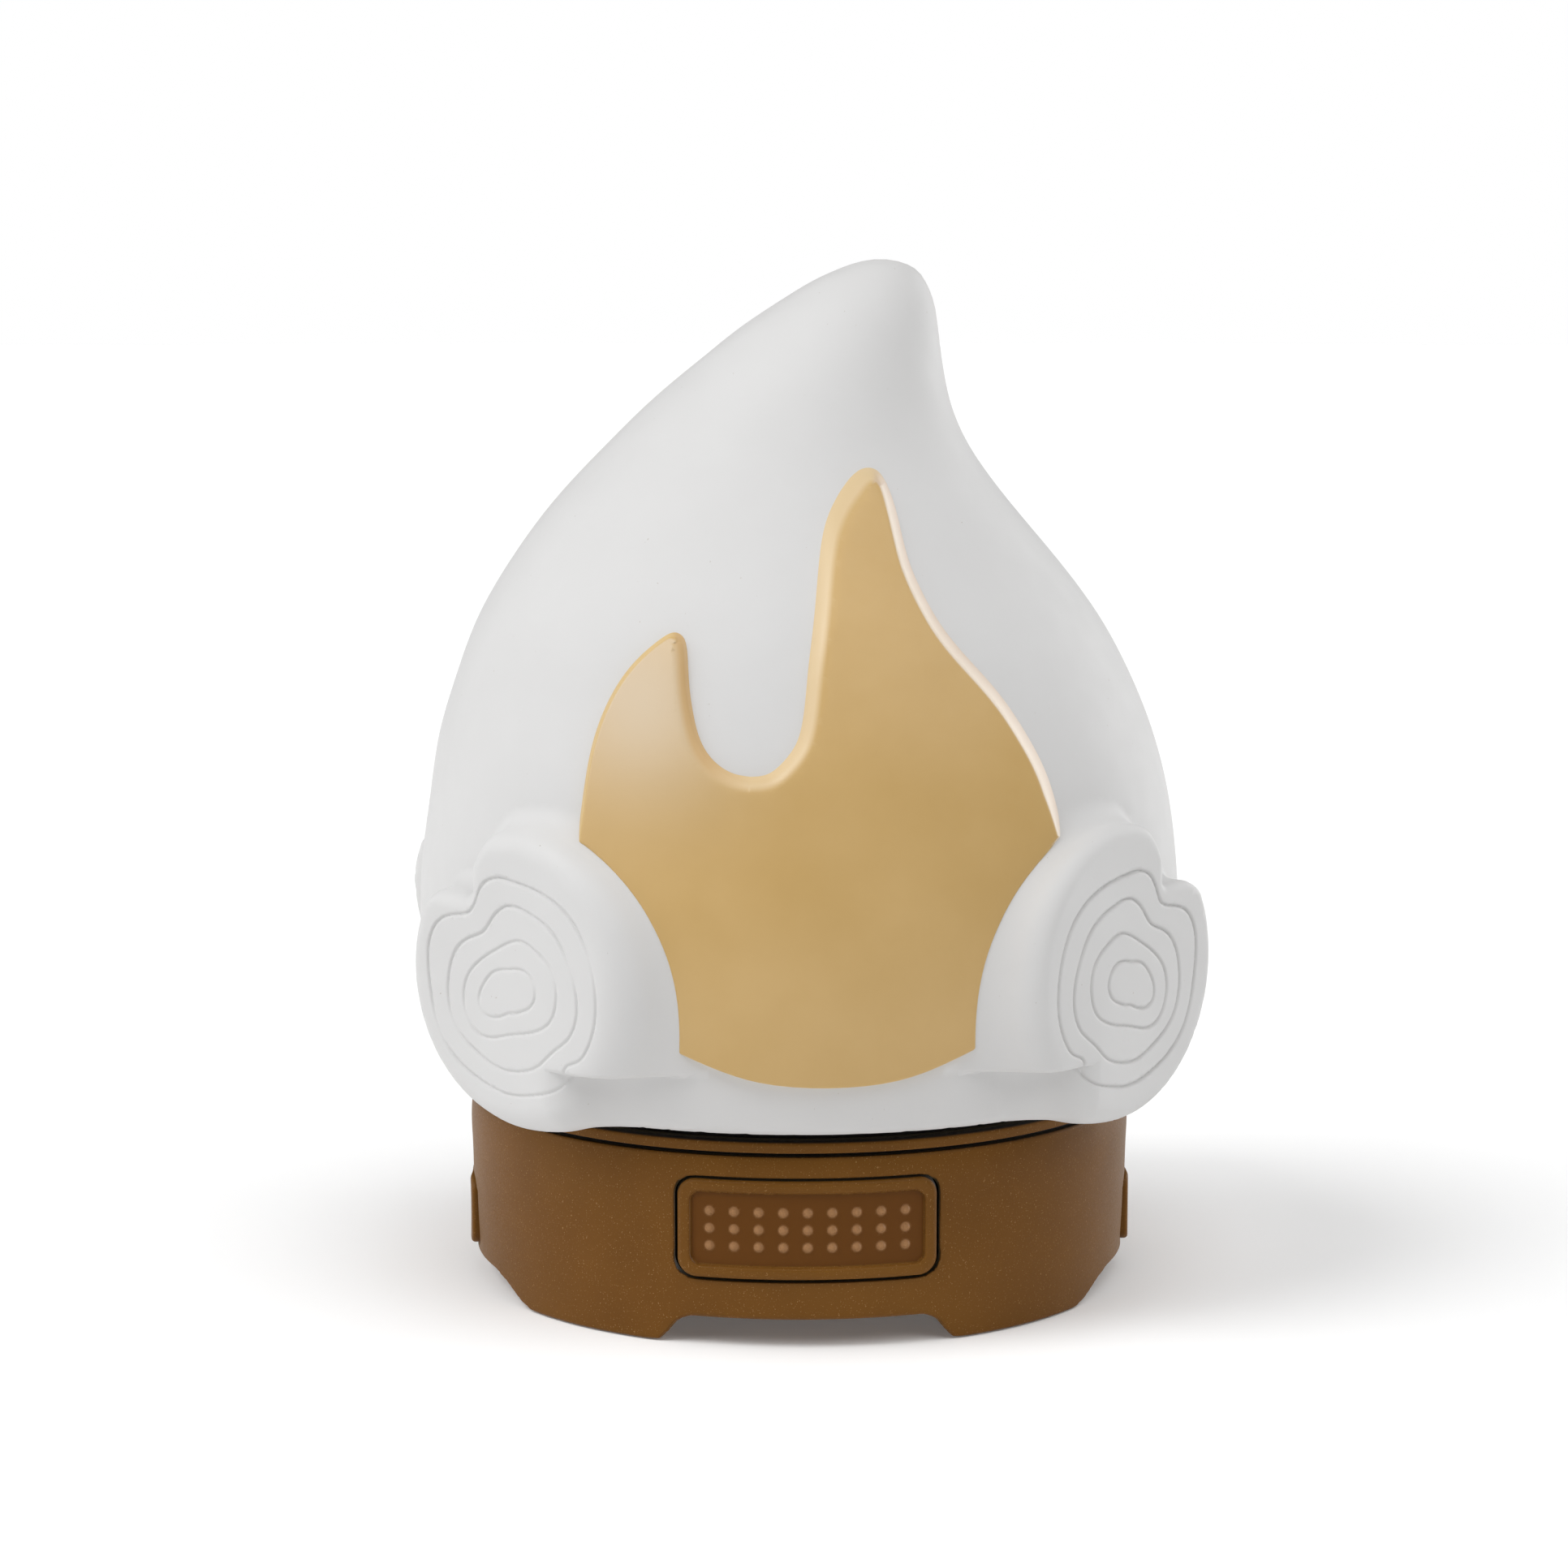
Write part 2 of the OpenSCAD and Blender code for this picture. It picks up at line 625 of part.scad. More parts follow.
// Curved button with side flanges behind the wall, pressed from -Y
module button(w, h, r, z, back) {
    face_r = base_r + button_proud;
    intersection() {
        tube(back, face_r, z - h, z + h);
        front_bar(w, h, r, 0, face_r + 2, z);
    }
    intersection() {
        tube(back, back + flange_wall, z - h, z + h);
        front_bar(w + 2 * (button_gap + flange_side), h, r, 0, face_r + 2, z);
    }
}

module front_button() {
    rim = 2;
    floor_r = base_r + button_proud - panel_depth;
    pitch = (front_w - 2 * rim - 6.4) / (bump_cols - 1);
    row_pitch = 2.9;
    color(brown) {
        difference() {
            button(front_w, front_h, 3, front_z, front_back);
            difference() {
                front_bar(front_w - 2 * rim, front_h - 2 * rim, 1.6, 0, base_r + 4, front_z);
                cylinder_between(floor_r, 0, front_z + front_h, 96);
            }
        }
        for (i = [0 : bump_cols - 1]) for (j = [0 : bump_rows - 1])
            let (x = (i - (bump_cols - 1) / 2) * pitch, z = front_z + (j - (bump_rows - 1) / 2) * row_pitch)
            translate([x, -sqrt(floor_r * floor_r - x * x) + 0.15, z]) sphere(bump_r, $fn = 16);
    }
}

module side_button() {
    color(brown) difference() {
        button(side_w, side_h, 2.5, side_z, side_back);
        // shallow finger hollow
        translate([0, -base_r - 28, side_z]) sphere(28.3, $fn = 64);
    }
}

module left_button() { rotate([0, 0, -90]) side_button(); }

module right_button() { rotate([0, 0, 90]) side_button(); }

// Push switch whose back lies on its board, at face from the axis
module push_switch(face, z) {
    color(black) {
        translate([-switch_body[0] / 2, -face - switch_body[1], z - switch_body[2] / 2]) cube(switch_body);
        translate([0, -face - switch_body[1] + 0.1, z]) rotate([90, 0, 0])
            cylinder(r = 1.6, h = plunger_l + 0.1, $fn = 32);
    }
}

module switch_board(face, w, switch_z) {
    top = switch_z + switch_body[2] / 2 + 1;
    color(green) translate([-w / 2, -face, deck]) cube([w, board_t, top - deck]);
}

module front_switch() { push_switch(front_face, front_z); }

module left_switch() { rotate([0, 0, -90]) push_switch(side_face, side_switch_z); }

module right_switch() { rotate([0, 0, 90]) push_switch(side_face, side_switch_z); }

module front_switch_board() { switch_board(front_face, front_board_w, front_z); }

module left_switch_board() { rotate([0, 0, -90]) switch_board(side_face, side_board_w, side_switch_z); }

module right_switch_board() { rotate([0, 0, 90]) switch_board(side_face, side_board_w, side_switch_z); }

// ---------------------------------------------------------------- electronics

module main_board() {
    color(green) translate([0, 0, board_z]) linear_extrude(board_t) difference() {
        intersection() {
            circle(board_r);
            translate([board_left, board_front]) square([2 * board_r, 2 * board_r]);
        }
        translate([disc_x, 0]) circle(board_ri);
        // cut-out for the power inlet
        translate([-inlet_body[0] / 2 - touch, inlet_back - touch]) square([inlet_body[0] + 2 * touch, 20]);
        for (p = board_posts) translate(p) circle(small_screw[2] + 0.15, $fn = 24);
    }
}

module board_screws() {
    color(steel) for (p = board_posts) translate([p[0], p[1], 0])
        screw_down(small_screw, board_top, board_screw_l);
}

// Places its child on the main board, at an angle and a distance past the middle of the ring
module on_board(angle, past = 0) {
    translate([(part_at + past) * cos(angle), (part_at + past) * sin(angle), board_top]) children();
}

module driver_chip() {
    color(black) on_board(9, -4) translate([-4, -2.7, 0]) cube([8, 5.4, 1.6]);
}

module power_coil() {
    color(grey) on_board(50, 5) difference() {
        cylinder(r = 4.2, h = 3.4, $fn = 48);
        tube(2.6, 5, 0.7, 2.7);
    }
}

module capacitors() {
    color(steel) {
        on_board(2, 6) cylinder(r = 2.5, h = 3.6, $fn = 32);
        on_board(-12, 6) cylinder(r = 2.5, h = 3.6, $fn = 32);
        on_board(64) cylinder(r = 2.5, h = 3.6, $fn = 32);
    }
}

module power_inlet() {
    color(black) difference() {
        union() {
            translate([-inlet_body[0] / 2, inlet_back, inlet_z - inlet_body[2] / 2]) cube(inlet_body);
            // side ears soldered to the board
            translate([-inlet_body[0] / 2 - 1.5, inlet_back + 0.5, board_top])
                cube([inlet_body[0] + 3, 3, 1.2]);
            translate([0, inlet_back + inlet_body[1] - cut, inlet_z]) rotate([-90, 0, 0])
                cylinder(r = inlet_nose_r, h = inlet_face - inlet_back - inlet_body[1] + cut);
        }
        translate([0, inlet_face - inlet_depth, inlet_z]) rotate([-90, 0, 0])
            cylinder(r = inlet_r, h = inlet_depth + cut);
    }
}

module inlet_pin() {
    color(brass) translate([0, inlet_face - inlet_depth, inlet_z]) rotate([-90, 0, 0])
        cylinder(r = inlet_pin_r, h = inlet_depth - 1.2);
}

// ---------------------------------------------------------------- fan

module fan_frame() {
    color(black) translate([-fan_x, 0, deck]) {
        difference() {
            translate([-fan_size / 2, -fan_size / 2, 0]) cube([fan_size, fan_size, fan_h]);
            translate([0, 0, -cut]) cylinder(r = duct_r, h = fan_h + 2 * cut);
            for (s = [-1, 1]) translate([s * fan_screw_at, s * fan_screw_at, -cut])
                cylinder(r = small_screw[2] + touch, h = fan_screw_l, $fn = 24);
        }
        // floor disc on three arms, with the bearing tube
        difference() {
            union() {
                cylinder(r = hub_r, h = fan_floor);
                for (a = [0, 120, 240]) rotate([0, 0, a]) translate([0, -0.8, 0])
                    cube([duct_r + 0.4, 1.6, fan_floor]);
                cylinder(r = shaft_r + shaft_fit + tube_wall, h = fan_h - 3);
            }
            translate([0, 0, 0.6]) cylinder(r = shaft_r + shaft_fit, h = fan_h);
        }
    }
}

module fan_stator() {
    inner = shaft_r + shaft_fit + tube_wall;
    color(brass) translate([-fan_x, 0, deck]) difference() {
        tube(inner, hub_r - hub_wall - 0.4, fan_floor + 0.3, fan_h - 3);
        for (a = [0 : 90 : 270]) rotate([0, 0, a]) translate([inner + 0.8, -0.4, fan_floor - 1])
            cube([10, 0.8, fan_h]);
    }
}

module fan_rotor() {
    hub_top = fan_h - 1;
    color(black) translate([-fan_x, 0, deck]) {
        difference() {
            cylinder_between(hub_r, fan_floor + 0.5, hub_top);
            cylinder_between(hub_r - hub_wall, 0, hub_top - 1);
        }
        cylinder_between(shaft_r, 0.8, hub_top - 0.5, 32);
        intersection() {
            tube(hub_r - 0.3, blade_r, fan_floor + 0.5, hub_top);
            for (i = [0 : blades - 1]) rotate([0, 0, 360 * i / blades])
                translate([0, 0, (fan_floor + 0.5 + hub_top) / 2]) rotate([48, 0, 0])
                translate([0, -6, -0.4]) cube([duct_r + 2, 12, 0.8]);
        }
    }
}

module fan_gasket() {
    color(grey) translate([-fan_x, 0, 0]) difference() {
        translate([-fan_size / 2, -fan_size / 2, fan_top]) cube([fan_size, fan_size, tank_under - fan_top]);
        cylinder_between(duct_r, fan_top - cut, tank_under + cut);
    }
}

module fan_screws() {
    color(steel) for (s = [-1, 1]) translate([-fan_x + s * fan_screw_at, s * fan_screw_at, 0])
        screw_up(small_screw, plate_z, fan_screw_l);
}

// ---------------------------------------------------------------- mist disc and lights

module mist_disc() {
    color(steel) translate([disc_x, 0, 0]) cylinder_between(disc_r, disc_z, disc_z + disc_t);
}

module disc_seal() {
    color(grey) translate([disc_x, 0, 0]) difference() {
        tube(well_r, seal_ro, seal_z, seal_z + seal_h);
        cylinder_between(disc_r, disc_z, disc_z + disc_t);
    }
}

module disc_retainer() {
    color(white) difference() {
        translate([disc_x, 0, 0]) tube(well_r - 2, retainer_r, seal_z - retainer_t, seal_z);
        at_disc(retainer_angles, retainer_screw_at)
            cylinder_between(small_screw[2] + 0.15, seal_z - retainer_t - cut, seal_z + cut, 24);
    }
}

module retainer_screws() {
    color(steel) at_disc(retainer_angles, retainer_screw_at)
        screw_up(small_screw, seal_z - retainer_t, disc_screw_l);
}

module led_board() {
    color(green) difference() {
        translate([disc_x, 0, 0]) intersection() {
            tube(led_r - led_half_w, led_r + led_half_w, led_board_top - board_t, led_board_top);
            // sector of 120 degrees
            for (a = [-60, -30]) rotate([0, 0, a]) cube(base_r);
        }
        at_disc(led_post_angles, led_r)
            cylinder_between(small_screw[2] + 0.15, led_board_top - board_t - cut, led_board_top + cut, 24);
    }
}

module leds() {
    color(white) at_disc(led_angles, led_r) translate([-1.75, -1.4, led_board_top]) cube([3.5, 2.8, led_t]);
}

module led_screws() {
    color(steel) at_disc(led_post_angles, led_r)
        screw_up(small_screw, led_board_top - board_t, led_screw_l);
}

// ---------------------------------------------------------------- leads inside the base

module fan_lead() {
    from = [fan_edge, 9, deck + 2.7];
    to = [board_left + 5, board_r - 15, board_top];
    color(black) lead([from, from + [1.1, 0, 0], from + [2.5, 4, 0.6],
        [fan_edge + 2.7, to[1] - 11, to[2] + 0.9], to + [-4, -4, 2.3], to + [0, 0, 1.5], to], lead_r);
}

module disc_lead() {
    from = [disc_x + 1, 1, disc_z];
    to = [disc_x + board_ri + 2.5, 10, board_z];
    color(black) lead([from, from + [0, 0, -1.4], from + [2, 1, -3], from + [7, 3, -5.2],
        to + [-7, -3, -1.5], to + [-2, -1, -1.7], to + [0, 0, -1.1], to], lead_r);
}

module led_lead() {
    from = [disc_x + led_r - 1, 12, led_board_top - board_t];
    to = [disc_x + board_ri + 3.5, 18, board_top];
    color(black) lead([from, from + [0, 0, -1], from + [1, 1.6, -2.2], to + [0.6, -0.6, 1.7],
        to + [0, 0, 0.9], to], lead_r);
}

module front_switch_lead() {
    from = [9, board_t - front_face, deck + 4.7];
    to = [21, board_front + 5, board_z];
    lead([from, from + [0, 1.2, 0], from + [2, 4.6, -1], from + [5, 9.6, -2.4], to + [-3, -9, -1.7],
        to + [-0.6, -2, -1.8], to + [0, 0, -1.1], to], lead_r);
}

module right_switch_lead() {
    from = [side_face - board_t, -5.5, side_switch_z + 1.7];
    to = [from[0] - 7.1, -12, board_top];
    lead([from, from + [-0.9, 0, 0], from + [-1.9, -0.8, 0.1], from + [-3.5, -2.5, 0.2],
        from + [-6.1, -5.3, -0.6], to + [0, 0, 1.1], to], lead_r);
}

// Goes round the fan
module left_switch_lead() {
    side = fan_size / 2;
    from = [board_t - side_face, 5.5, side_switch_z + 1.7];
    to = [board_left + 3, board_r - 12, board_top];
    lead([from, from + [0.7, 0, 0], from + [1.1, 1.5, -0.2], [from[0] + 0.9, side - 1.5, deck + 5.3],
        [from[0] + 4.1, side + 5.5, deck + 3.1], [from[0] + 12.1, side + 11.5, deck + 1.7],
        [fan_edge - 5.5, side + 13.1, deck + 1.9], to + [-6.4, -6, -0.1], to + [-3, -2.6, 1.9],
        to + [0, 0, 1.5], to], lead_r);
}

module switch_leads() {
    color(black) {
        front_switch_lead();
        right_switch_lead();
        left_switch_lead();
    }
}

cover();
flame_panel();
inner_lid();
top_ring();
water_tank();
tank_seal();
base_shell();
bottom_plate();
rubber_feet();
bottom_screws();
front_button();
left_button();
right_button();
front_switch();
left_switch();
right_switch();
front_switch_board();
left_switch_board();
right_switch_board();
main_board();
board_screws();
driver_chip();
power_coil();
capacitors();
power_inlet();
inlet_pin();
fan_frame();
fan_stator();
fan_rotor();
fan_gasket();
fan_screws();
mist_disc();
disc_seal();
disc_retainer();
retainer_screws();
led_board();
leds();
led_screws();
fan_lead();
disc_lead();
led_lead();
switch_leads();
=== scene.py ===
"""Looks of the cool mist humidifier: a white ceramic flame on four crossed logs, with a gold flame
on its front, over a brown plastic base. Shapes are worked out in millimetres as signed distances,
meshed, and handed to Blender in metres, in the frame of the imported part."""

import json
import math

import bpy
import numpy as np
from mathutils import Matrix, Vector


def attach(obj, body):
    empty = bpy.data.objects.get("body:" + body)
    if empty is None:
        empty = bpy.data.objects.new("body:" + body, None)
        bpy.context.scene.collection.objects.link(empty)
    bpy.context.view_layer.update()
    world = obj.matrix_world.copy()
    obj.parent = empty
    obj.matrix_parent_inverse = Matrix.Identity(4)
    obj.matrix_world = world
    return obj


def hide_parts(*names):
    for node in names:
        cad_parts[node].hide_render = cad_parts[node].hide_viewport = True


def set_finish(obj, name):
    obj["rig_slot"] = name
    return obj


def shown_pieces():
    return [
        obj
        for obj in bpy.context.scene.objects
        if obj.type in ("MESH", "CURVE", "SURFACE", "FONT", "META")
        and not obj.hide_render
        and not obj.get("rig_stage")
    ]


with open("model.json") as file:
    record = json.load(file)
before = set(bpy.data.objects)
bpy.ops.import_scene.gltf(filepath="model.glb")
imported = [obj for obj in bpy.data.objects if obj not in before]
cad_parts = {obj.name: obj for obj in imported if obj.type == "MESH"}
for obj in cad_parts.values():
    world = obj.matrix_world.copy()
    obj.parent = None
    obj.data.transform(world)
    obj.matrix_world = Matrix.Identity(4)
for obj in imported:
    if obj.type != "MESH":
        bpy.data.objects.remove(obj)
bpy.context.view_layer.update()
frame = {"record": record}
MM = 0.001

# ------------------------------------------------------------------ camera, lights and floor

CAMERA_DISTANCE = 0.7
CAMERA_AZIMUTH = math.radians(-1.4)
CAMERA_ELEVATION = math.radians(7.82)
AIM = Vector((0, 0, 0.0856))
LENS_MM, SENSOR_MM, SHIFT_X = 92.05, 36, -0.0097


def towards(azimuth, elevation):
    """Unit vector from the object to a place that is seen at this azimuth and elevation."""
    level = math.cos(elevation)
    return Vector((math.sin(azimuth) * level, -math.cos(azimuth) * level, math.sin(elevation)))


def add_camera():
    data = bpy.data.cameras.new("camera")
    data.lens, data.sensor_width, data.shift_x = LENS_MM, SENSOR_MM, SHIFT_X
    camera = bpy.data.objects.new("camera", data)
    bpy.context.scene.collection.objects.link(camera)
    back = towards(CAMERA_AZIMUTH, CAMERA_ELEVATION)
    camera.location = AIM + back * CAMERA_DISTANCE
    camera.rotation_euler = (-back).to_track_quat("-Z", "Y").to_euler()
    data.clip_start, data.clip_end = 0.01, 50
    bpy.context.scene.camera = camera


def add_light(name, azimuth, elevation, spread, strength, shadow):
    """Wide, even light from one side of the studio. The angles are in degrees."""
    data = bpy.data.lights.new(name, "SUN")
    data.angle, data.energy, data.use_shadow = math.radians(spread), strength, shadow
    lamp = bpy.data.objects.new(name, data)
    bpy.context.scene.collection.objects.link(lamp)
    way = towards(math.radians(azimuth), math.radians(elevation))
    lamp.location = AIM + way
    lamp.rotation_euler = (-way).to_track_quat("-Z", "Y").to_euler()


def add_floor():
    radius, sides = 6, 64
    turns = [2 * math.pi * k / sides for k in range(sides)]
    rim = [(radius * math.cos(t), radius * math.sin(t), 0) for t in turns]
    data = bpy.data.meshes.new("floor")
    data.from_pydata(rim, [], [list(range(sides))])
    floor = bpy.data.objects.new("floor", data)
    bpy.context.scene.collection.objects.link(floor)
    material = bpy.data.materials.new("pale_floor")
    material.use_nodes = True
    shader = material.node_tree.nodes["Principled BSDF"]
    shader.inputs["Base Color"].default_value = (0.94, 0.94, 0.94, 1)
    shader.inputs["Emission Color"].default_value = (1, 1, 1, 1)
    shader.inputs["Emission Strength"].default_value = 0.04
    shader.inputs["Roughness"].default_value = 0.9
    shader.inputs["Specular IOR Level"].default_value = 0.2
    data.materials.append(material)
    floor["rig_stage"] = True


def add_world(strength):
    world = bpy.data.worlds.new("studio")
    bpy.context.scene.world = world
    world.use_nodes = True
    nodes, links = world.node_tree.nodes, world.node_tree.links
    sky = nodes["Background"]
    sky.inputs["Color"].default_value = (1, 1, 1, 1)
    sky.inputs["Strength"].default_value = strength
    seen = nodes.new("ShaderNodeBackground")
    seen.inputs["Color"].default_value = (1, 1, 1, 1)
    path, choice = nodes.new("ShaderNodeLightPath"), nodes.new("ShaderNodeMixShader")
    links.new(path.outputs["Is Camera Ray"], choice.inputs[0])
    links.new(sky.outputs[0], choice.inputs[1])
    links.new(seen.outputs[0], choice.inputs[2])
    links.new(choice.outputs[0], nodes["World Output"].inputs["Surface"])


# Name, azimuth, elevation, spread, strength, and whether it casts shadows
LIGHTS = (
    ("left", -80, 35, 60, 1.55, True),
    ("high_left", -60, 52, 24, 0.78, True),
    ("right_back", 130, 12, 40, 1.1, False),
    ("left_back", -128, 15, 40, 0.3, False),
    ("top", 48, 60, 70, 1.97, True),
)
SKY_STRENGTH = 0.02

add_camera()
add_world(SKY_STRENGTH)
for light in LIGHTS:
    add_light(*light)
add_floor()
bpy.context.scene.view_settings.view_transform = "Standard"

# ------------------------------------------------------------------ curves and distances


class Curve:
    """Smooth curve through points, straight beyond its ends. With period, it closes on itself."""

    def __init__(self, x, y, period=None):
        x, y = np.array(x, float), np.array(y, float)
        if period:
            order = np.argsort(x)
            x, y = x[order], y[order]
            x = np.concatenate([x - period, x, x + period])
            y = np.concatenate([y, y, y])
        gap, n = np.diff(x), len(x)
        left, right = np.eye(n), np.zeros(n)
        for i in range(1, n - 1):
            left[i, i - 1:i + 2] = gap[i - 1], 2 * (gap[i - 1] + gap[i]), gap[i]
            right[i] = 6 * ((y[i + 1] - y[i]) / gap[i] - (y[i] - y[i - 1]) / gap[i - 1])
        self.x, self.y, self.gap, self.bend = x, y, gap, np.linalg.solve(left, right)

    def at(self, q):
        """Values and slopes of the curve at q."""
        inside = np.clip(q, self.x[0], self.x[-1])
        i = np.clip(np.searchsorted(self.x, inside) - 1, 0, len(self.x) - 2)
        t, g, b0, b1 = inside - self.x[i], self.gap[i], self.bend[i], self.bend[i + 1]
        line = (self.y[i + 1] - self.y[i]) / g - g * (2 * b0 + b1) / 6
        slope = line + b0 * t + (b1 - b0) * t * t / (2 * g)
        value = self.y[i] + t * (line + t * (b0 / 2 + t * (b1 - b0) / (6 * g)))
        return value + slope * (q - inside), slope


def both(a, b, r):
    """Distance to what two shapes share, with the edge between them rounded."""
    return np.minimum(-r, np.maximum(a, b)) + np.hypot(np.maximum(a + r, 0), np.maximum(b + r, 0))


def either(a, b, r):
    """Distance to two shapes together, with a fillet between them."""
    return -both(-a, -b, r)


def less(a, b, r):
    """Distance to shape a with shape b cut out of it, with the edge rounded."""
    return both(a, -b, r)


def slab(u, v, half_u, half_v, r):
    """Distance in a plane to a rectangle with rounded corners."""
    du, dv = np.abs(u) - half_u + r, np.abs(v) - half_v + r
    return np.hypot(np.maximum(du, 0), np.maximum(dv, 0)) + np.minimum(np.maximum(du, dv), 0) - r


def outline_distance(u, v, points, values):
    """Distance in a plane to a closed outline, negative inside, and the value given there."""
    best, inside, value = np.full(u.shape, 1e9), np.zeros(u.shape, bool), np.zeros(u.shape)
    for (ax, ay), (bx, by), va, vb in zip(points, np.roll(points, -1, axis=0), values, np.roll(values, -1)):
        dx, dy = bx - ax, by - ay
        t = np.clip(((u - ax) * dx + (v - ay) * dy) / (dx * dx + dy * dy), 0, 1)
        far = (u - ax - t * dx) ** 2 + (v - ay - t * dy) ** 2
        value = np.where(far < best, va + t * (vb - va), value)
        best = np.minimum(best, far)
        if ay != by:
            inside ^= ((ay > v) != (by > v)) & (u < ax + (v - ay) * dx / dy)
    return np.where(inside, -1, 1) * np.sqrt(best), value


# ------------------------------------------------------------------ meshing


def mesh_surface(shape, low, high, step, place=None, wrap=False):
    """Vertices and quads on the surface shape(points) = 0, with one vertex per grid cell that it
    crosses. place turns grid coordinates into points; wrap closes the first one on itself."""
    low, high, step = (np.array(q, float) * np.ones(3) for q in (low, high, step))
    n = np.maximum(np.round((high - low) / step).astype(int), 2) + 1
    if wrap:
        n[0] -= 1
    axes = [low[i] + step[i] * np.arange(n[i]) for i in range(3)]
    grid = np.stack(np.meshgrid(*axes, indexing="ij"), -1).reshape(-1, 3)
    value = shape(grid if place is None else place(grid)).reshape(n)
    value = np.where(np.abs(value) < 1e-9, 1e-9, value)
    if wrap:
        value = np.concatenate([value, value[:1]])
    cells = np.array(value.shape) - 1
    total, count = np.zeros((*cells, 3)), np.zeros(cells)
    crossings = []
    for d in range(3):
        first = [slice(None)] * 3
        second = [slice(None)] * 3
        first[d], second[d] = slice(0, -1), slice(1, None)
        a, b = value[tuple(first)], value[tuple(second)]
        at = np.argwhere((a < 0) != (b < 0))
        va, vb = a[tuple(at.T)], b[tuple(at.T)]
        point = at.astype(float)
        point[:, d] += va / (va - vb)
        o1, o2 = [k for k in range(3) if k != d]
        for s1 in (0, 1):
            for s2 in (0, 1):
                cell = at.copy()
                cell[:, o1] -= s1
                cell[:, o2] -= s2
                moved = point
                if wrap and d != 0:
                    moved = point.copy()
                    back = cell[:, 0] < 0
                    cell[back, 0] += cells[0]
                    moved[back, 0] += cells[0]
                    over = cell[:, 0] >= cells[0]
                    cell[over, 0] -= cells[0]
                    moved[over, 0] -= cells[0]
                ok = ((cell >= 0) & (cell < cells)).all(1)
                if wrap and d != 0:  # the seam's nodes are in the grid twice
                    ok &= at[:, 0] < cells[0]
                np.add.at(total, tuple(cell[ok].T), moved[ok])
                np.add.at(count, tuple(cell[ok].T), 1)
        crossings.append((at, va < 0))
    live = count > 0
    number = np.full(cells, -1)
    number[live] = np.arange(live.sum())
    vertices = low + (total[live] / count[live][:, None]) * step
    if place is not None:
        vertices = place(vertices)
    quads = []
    for d, (at, inside) in enumerate(crossings):
        if wrap and d != 0:
            keep = at[:, 0] < cells[0]
            at, inside = at[keep], inside[keep]
        o1, o2 = (d + 1) % 3, (d + 2) % 3
        ring = []
        for s1, s2 in ((1, 1), (0, 1), (0, 0), (1, 0)):
            cell = at.copy()
            cell[:, o1] -= s1
            cell[:, o2] -= s2
            if wrap:
                cell[:, 0] %= cells[0]
            bad = ((cell < 0) | (cell >= cells)).any(1)
            cell[bad] = 0
            ring.append(np.where(bad, -1, number[tuple(cell.T)]))
        quad = np.stack(ring, 1)
        outward = inside if place is None else ~inside  # the round grid is left-handed
        quad[~outward] = quad[~outward][:, ::-1]
        quads.append(quad[(quad >= 0).all(1)])
    return vertices, np.concatenate(quads)


def gradient(shape, p, reach):
    """Direction of steepest rise of a shape's distance, not scaled."""
    g = np.empty_like(p)
    for k in range(3):
        ahead, behind = p.copy(), p.copy()
        ahead[:, k] += reach
        behind[:, k] -= reach
        g[:, k] = (shape(ahead) - shape(behind)) / (2 * reach)
    return g


def settle(shape, p, reach, steps=3):
    """Moves points onto the surface of a shape."""
    p = p.copy()
    for _ in range(steps):
        g = gradient(shape, p, reach)
        move = shape(p)[:, None] * g / np.maximum((g * g).sum(1), 0.05)[:, None]
        length = np.linalg.norm(move, axis=1)
        p -= move * np.minimum(1, 4 * reach / np.maximum(length, 1e-9))[:, None]
    return p


def relax(shape, vertices, quads, reach, rounds=2):
    """Evens out the quads, then puts the points back on the surface."""
    a, b = quads.ravel(), np.roll(quads, -1, axis=1).ravel()
    for _ in range(rounds):
        total, count = np.zeros_like(vertices), np.zeros(len(vertices))
        for i, j in ((a, b), (b, a)):
            for k in range(3):
                total[:, k] += np.bincount(i, vertices[j, k], len(vertices))
            count += np.bincount(i, minlength=len(vertices))
        middle = total / np.maximum(count, 1)[:, None]
        vertices = settle(shape, vertices + 0.5 * (middle - vertices), reach, 2)
    return vertices


def refine(vertices, quads, polygons, pick):
    """Splits the picked quads in four. A face beside them takes their new corners into its own edge."""
    n = len(vertices)
    chosen, rest = quads[pick], quads[~pick]

    def keys(faces):
        ahead = np.roll(faces, -1, axis=1)
        return np.minimum(faces, ahead) * n + np.maximum(faces, ahead)

    edge, place = np.unique(keys(chosen), return_inverse=True)
    place = place.reshape(chosen.shape) + n
    centre = n + len(edge) + np.arange(len(chosen))
    middles = (vertices[edge // n] + vertices[edge % n]) / 2
    vertices = np.concatenate([vertices, middles, vertices[chosen].mean(1)])
    new = [np.stack([chosen[:, k], place[:, k], centre, place[:, k - 1]], 1) for k in range(4)]
    rest_keys = keys(rest)
    found = np.searchsorted(edge, rest_keys)
    split = edge[np.minimum(found, len(edge) - 1)] == rest_keys
    touched = split.any(1)
    more = []
    for face, at, cut in zip(rest[touched], found[touched], split[touched]):
        loop = []
        for k in range(4):
            loop.append(face[k])
            if cut[k]:
                loop.append(n + at[k])
        more.append(loop)
    known = dict(zip(edge.tolist(), range(n, n + len(edge))))
    for loop in polygons:
        longer = []
        for k, v in enumerate(loop):
            w = loop[(k + 1) % len(loop)]
            longer.append(v)
            cut = known.get(int(min(v, w)) * n + int(max(v, w)))
            if cut is not None:
                longer.append(cut)
        more.append(longer)
    return vertices, np.concatenate([rest[~touched], *new]), more


